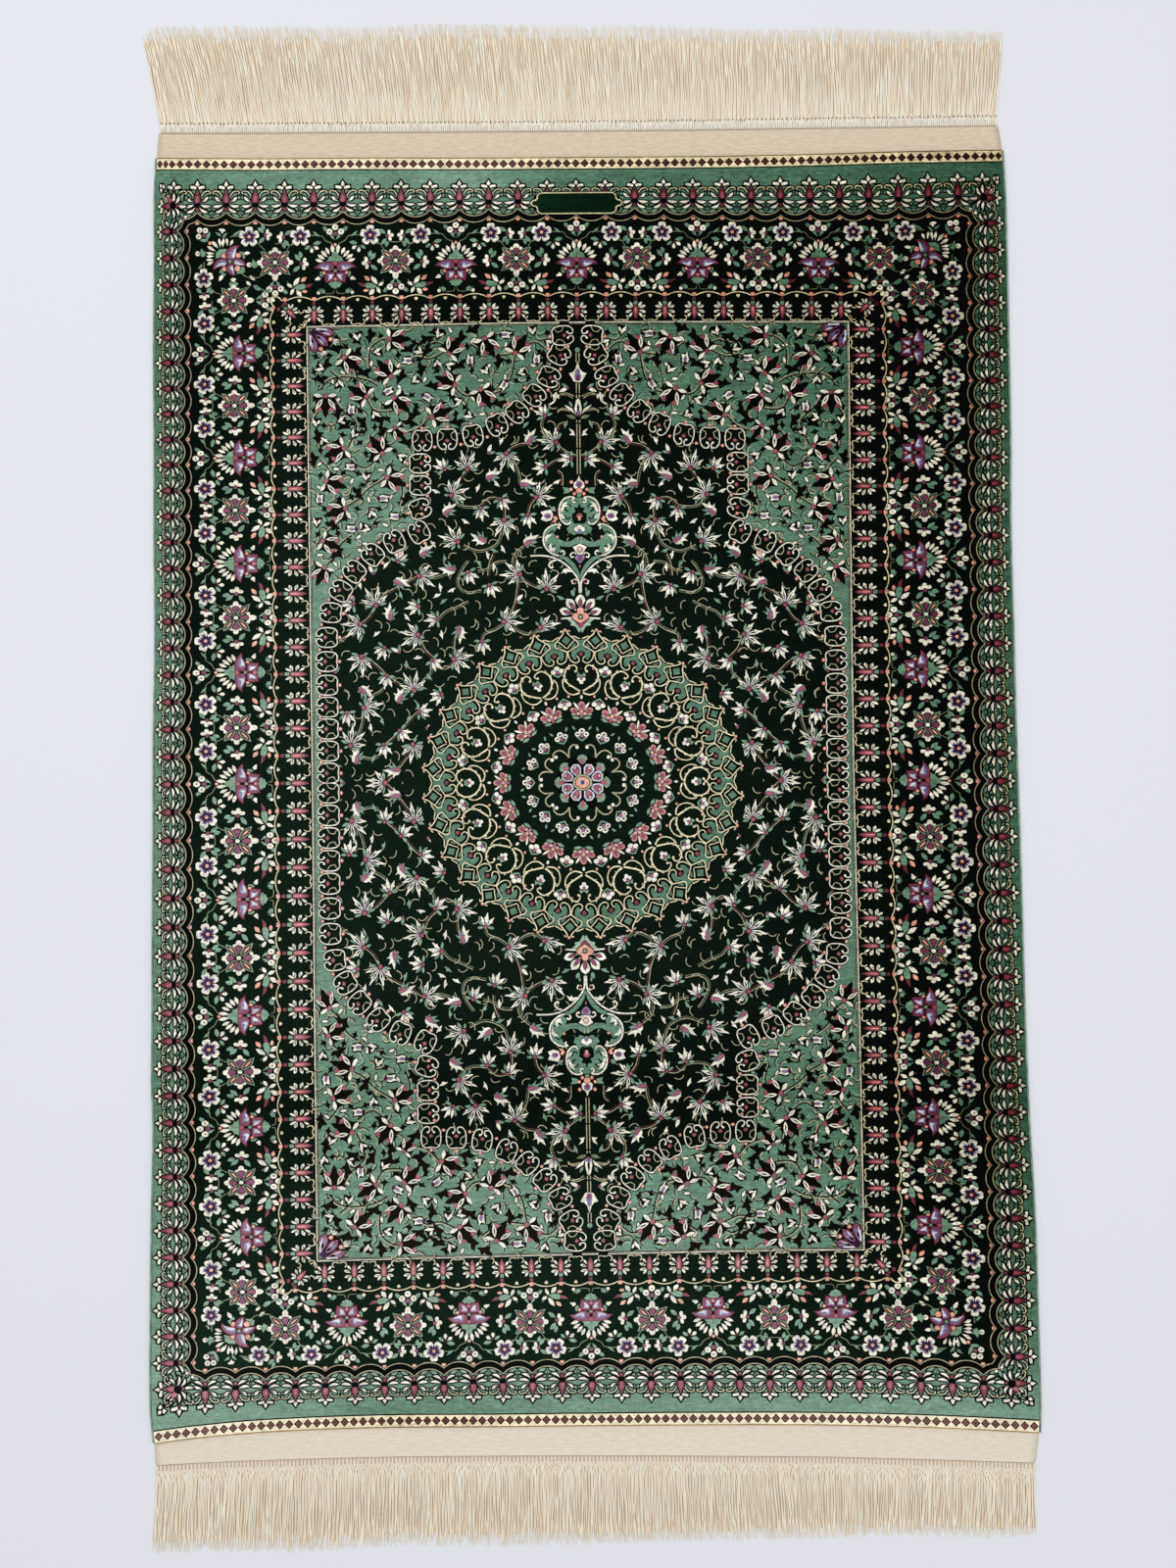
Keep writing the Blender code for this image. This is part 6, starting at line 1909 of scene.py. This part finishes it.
def fringeMat(end):  # the lower yarns of the fringe, felted into one thin mat, coloured darker than the yarns above as painted shade between them
    matSizes = {"across": 420, "rows": 7, "high": 0.5, "reach": 0.87, "ragged": 0.03}
    sign = 1 if end == "Top" else -1
    corner = 590 if end == "Top" else -591
    left = sideAt(corner, "left")[0] + webInset[end][0] + 1.2
    right = sideAt(corner, "right")[0] - webInset[end][1] - 1.2
    draw = random.Random(51 if end == "Top" else 52)
    key = end.lower()
    bm = bmesh.new()
    bmesh.ops.create_grid(bm, x_segments=matSizes["across"], y_segments=matSizes["rows"], size=1)
    raggedness = [draw.gauss(0, matSizes["ragged"]) for k in range(matSizes["across"] + 1)]
    for vert in bm.verts:
        share, depth = (vert.co.x + 1) / 2, (vert.co.y + 1) / 2
        weights = between(fringeTips[key + "Share"], share)[0]
        rootX = left + (right - left) * share
        rootY = endAt(rootX, "web" + end)[0] + sign * 0.8
        tipX = weights @ np.array(fringeTips[key + "Across"])
        tipY = weights @ np.array(fringeTips[key + "Along"])
        reach = depth * min(0.97, matSizes["reach"] + raggedness[round(share * matSizes["across"])] * depth)
        x, y = placed(rootX + (tipX - rootX) * reach ** 1.15, rootY + (tipY - rootY) * reach)
        vert.co = (x, y, matSizes["high"] * (1 - 0.5 * depth) * mm)
    made = bmesh.ops.extrude_edge_only(bm, edges=[edge for edge in bm.edges if edge.is_boundary])["geom"]
    for item in made:
        if isinstance(item, bmesh.types.BMVert):
            item.co.z = 0
    bmesh.ops.edgeloop_fill(bm, edges=[edge for edge in bm.edges if edge.is_boundary])
    bmesh.ops.recalc_face_normals(bm, faces=bm.faces)
    piece = addPiece("fringeMat_" + key, bm, matShadeMaterial)
    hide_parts("fringe_" + key)
    return piece


def paintedHoleShadows():  # dark studs painted as the shadow in the pinholes along the outer side of the top row of warps
    holeShadowSizes = {"pitch": 3.9, "radius": 0.55, "high": 2.5, "low": 0.9, "out": 9.6}
    left = sideAt(590, "left")[0] + webInset["Top"][0] + 3
    right = sideAt(590, "right")[0] - webInset["Top"][1] - 3
    draw = random.Random(61)
    bm = bmesh.new()
    for across in np.linspace(left, right, int((right - left) / holeShadowSizes["pitch"])):
        across += draw.uniform(-0.3, 0.3)
        x, y = placed(across, endAt(across, "webTop")[0] + holeShadowSizes["out"] + draw.uniform(-0.4, 0.4))
        bmesh.ops.create_cone(bm, cap_ends=True, segments=6, radius1=holeShadowSizes["radius"] * mm, radius2=holeShadowSizes["radius"] * mm,
                              depth=(holeShadowSizes["high"] - holeShadowSizes["low"]) * mm,
                              matrix=Matrix.Translation((x, y, (holeShadowSizes["high"] + holeShadowSizes["low"]) / 2 * mm)))
    piece = addPiece("paintedHoleShadows", bm, holeShadowMaterial)
    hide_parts("fringe_top")
    return piece


selvedges = [selvedge("left"), selvedge("right")]
webs = [web("Top"), web("Bottom")]
warps = [warpRow("Top"), warpRow("Bottom")]
fringes = [fringe("Top"), fringe("Bottom"), fringeMat("Top"), fringeMat("Bottom"), paintedHoleShadows()]
for piece in pilePieces + selvedges + webs + warps + fringes:
    piece.data.calc_loop_triangles()
print("triangles:", {piece.name: len(piece.data.loop_triangles) for piece in pilePieces + selvedges + webs + warps + fringes})


# ---- floor, light and camera

def floor():
    bm = bmesh.new()
    bmesh.ops.create_grid(bm, x_segments=1, y_segments=1, size=4)
    mesh = bpy.data.meshes.new("floor")
    bm.to_mesh(mesh)
    bm.free()
    made = bpy.data.objects.new("floor", mesh)
    made.location.z = -0.0003
    scene.collection.objects.link(made)
    material, nodes, links, shader = blank("pale floor")
    shader.inputs["Base Color"].default_value = (*linear((238, 240, 246)), 1)
    shader.inputs["Roughness"].default_value = 0.9
    shader.inputs["Specular IOR Level"].default_value = 0.1
    mesh.materials.append(material)
    return made


def lamp(name, at, size, power):
    light = bpy.data.lights.new(name, "AREA")
    light.shape = "RECTANGLE"
    light.size, light.size_y = size
    light.energy = power
    made = bpy.data.objects.new(name, light)
    made.location = at
    made.rotation_euler = (-Vector(at)).to_track_quat("-Z", "Y").to_euler()
    scene.collection.objects.link(made)
    return made


ground = floor()
lights = [lamp("softBox", (-0.9, 1.1, 2.7), (2.8, 2.8), 32), lamp("fill", (1.3, -0.9, 2.8), (2.6, 2.6), 16)]
world = bpy.data.worlds.new("room")
scene.world = world
world.use_nodes = True
world.node_tree.nodes["Background"].inputs["Color"].default_value = (0.98, 0.99, 1.0, 1)
world.node_tree.nodes["Background"].inputs["Strength"].default_value = 0.56

cameraSizes = {"x": 0.00516, "y": -0.05801, "z": 1.0449, "tilt": 2.19, "yaw": -0.745, "lens": 26}
camera = bpy.data.objects.new("camera", bpy.data.cameras.new("camera"))
camera.data.lens = cameraSizes["lens"]
camera.data.sensor_width = 36
camera.data.sensor_fit = "AUTO"
camera.matrix_world = (Matrix.Translation((cameraSizes["x"], cameraSizes["y"], cameraSizes["z"]))
                       @ Matrix.Rotation(math.radians(cameraSizes["tilt"]), 4, "X")
                       @ Matrix.Rotation(math.radians(cameraSizes["yaw"]), 4, "Z"))
scene.collection.objects.link(camera)
scene.camera = camera
scene.view_settings.view_transform = "Standard"

print("scene ready")
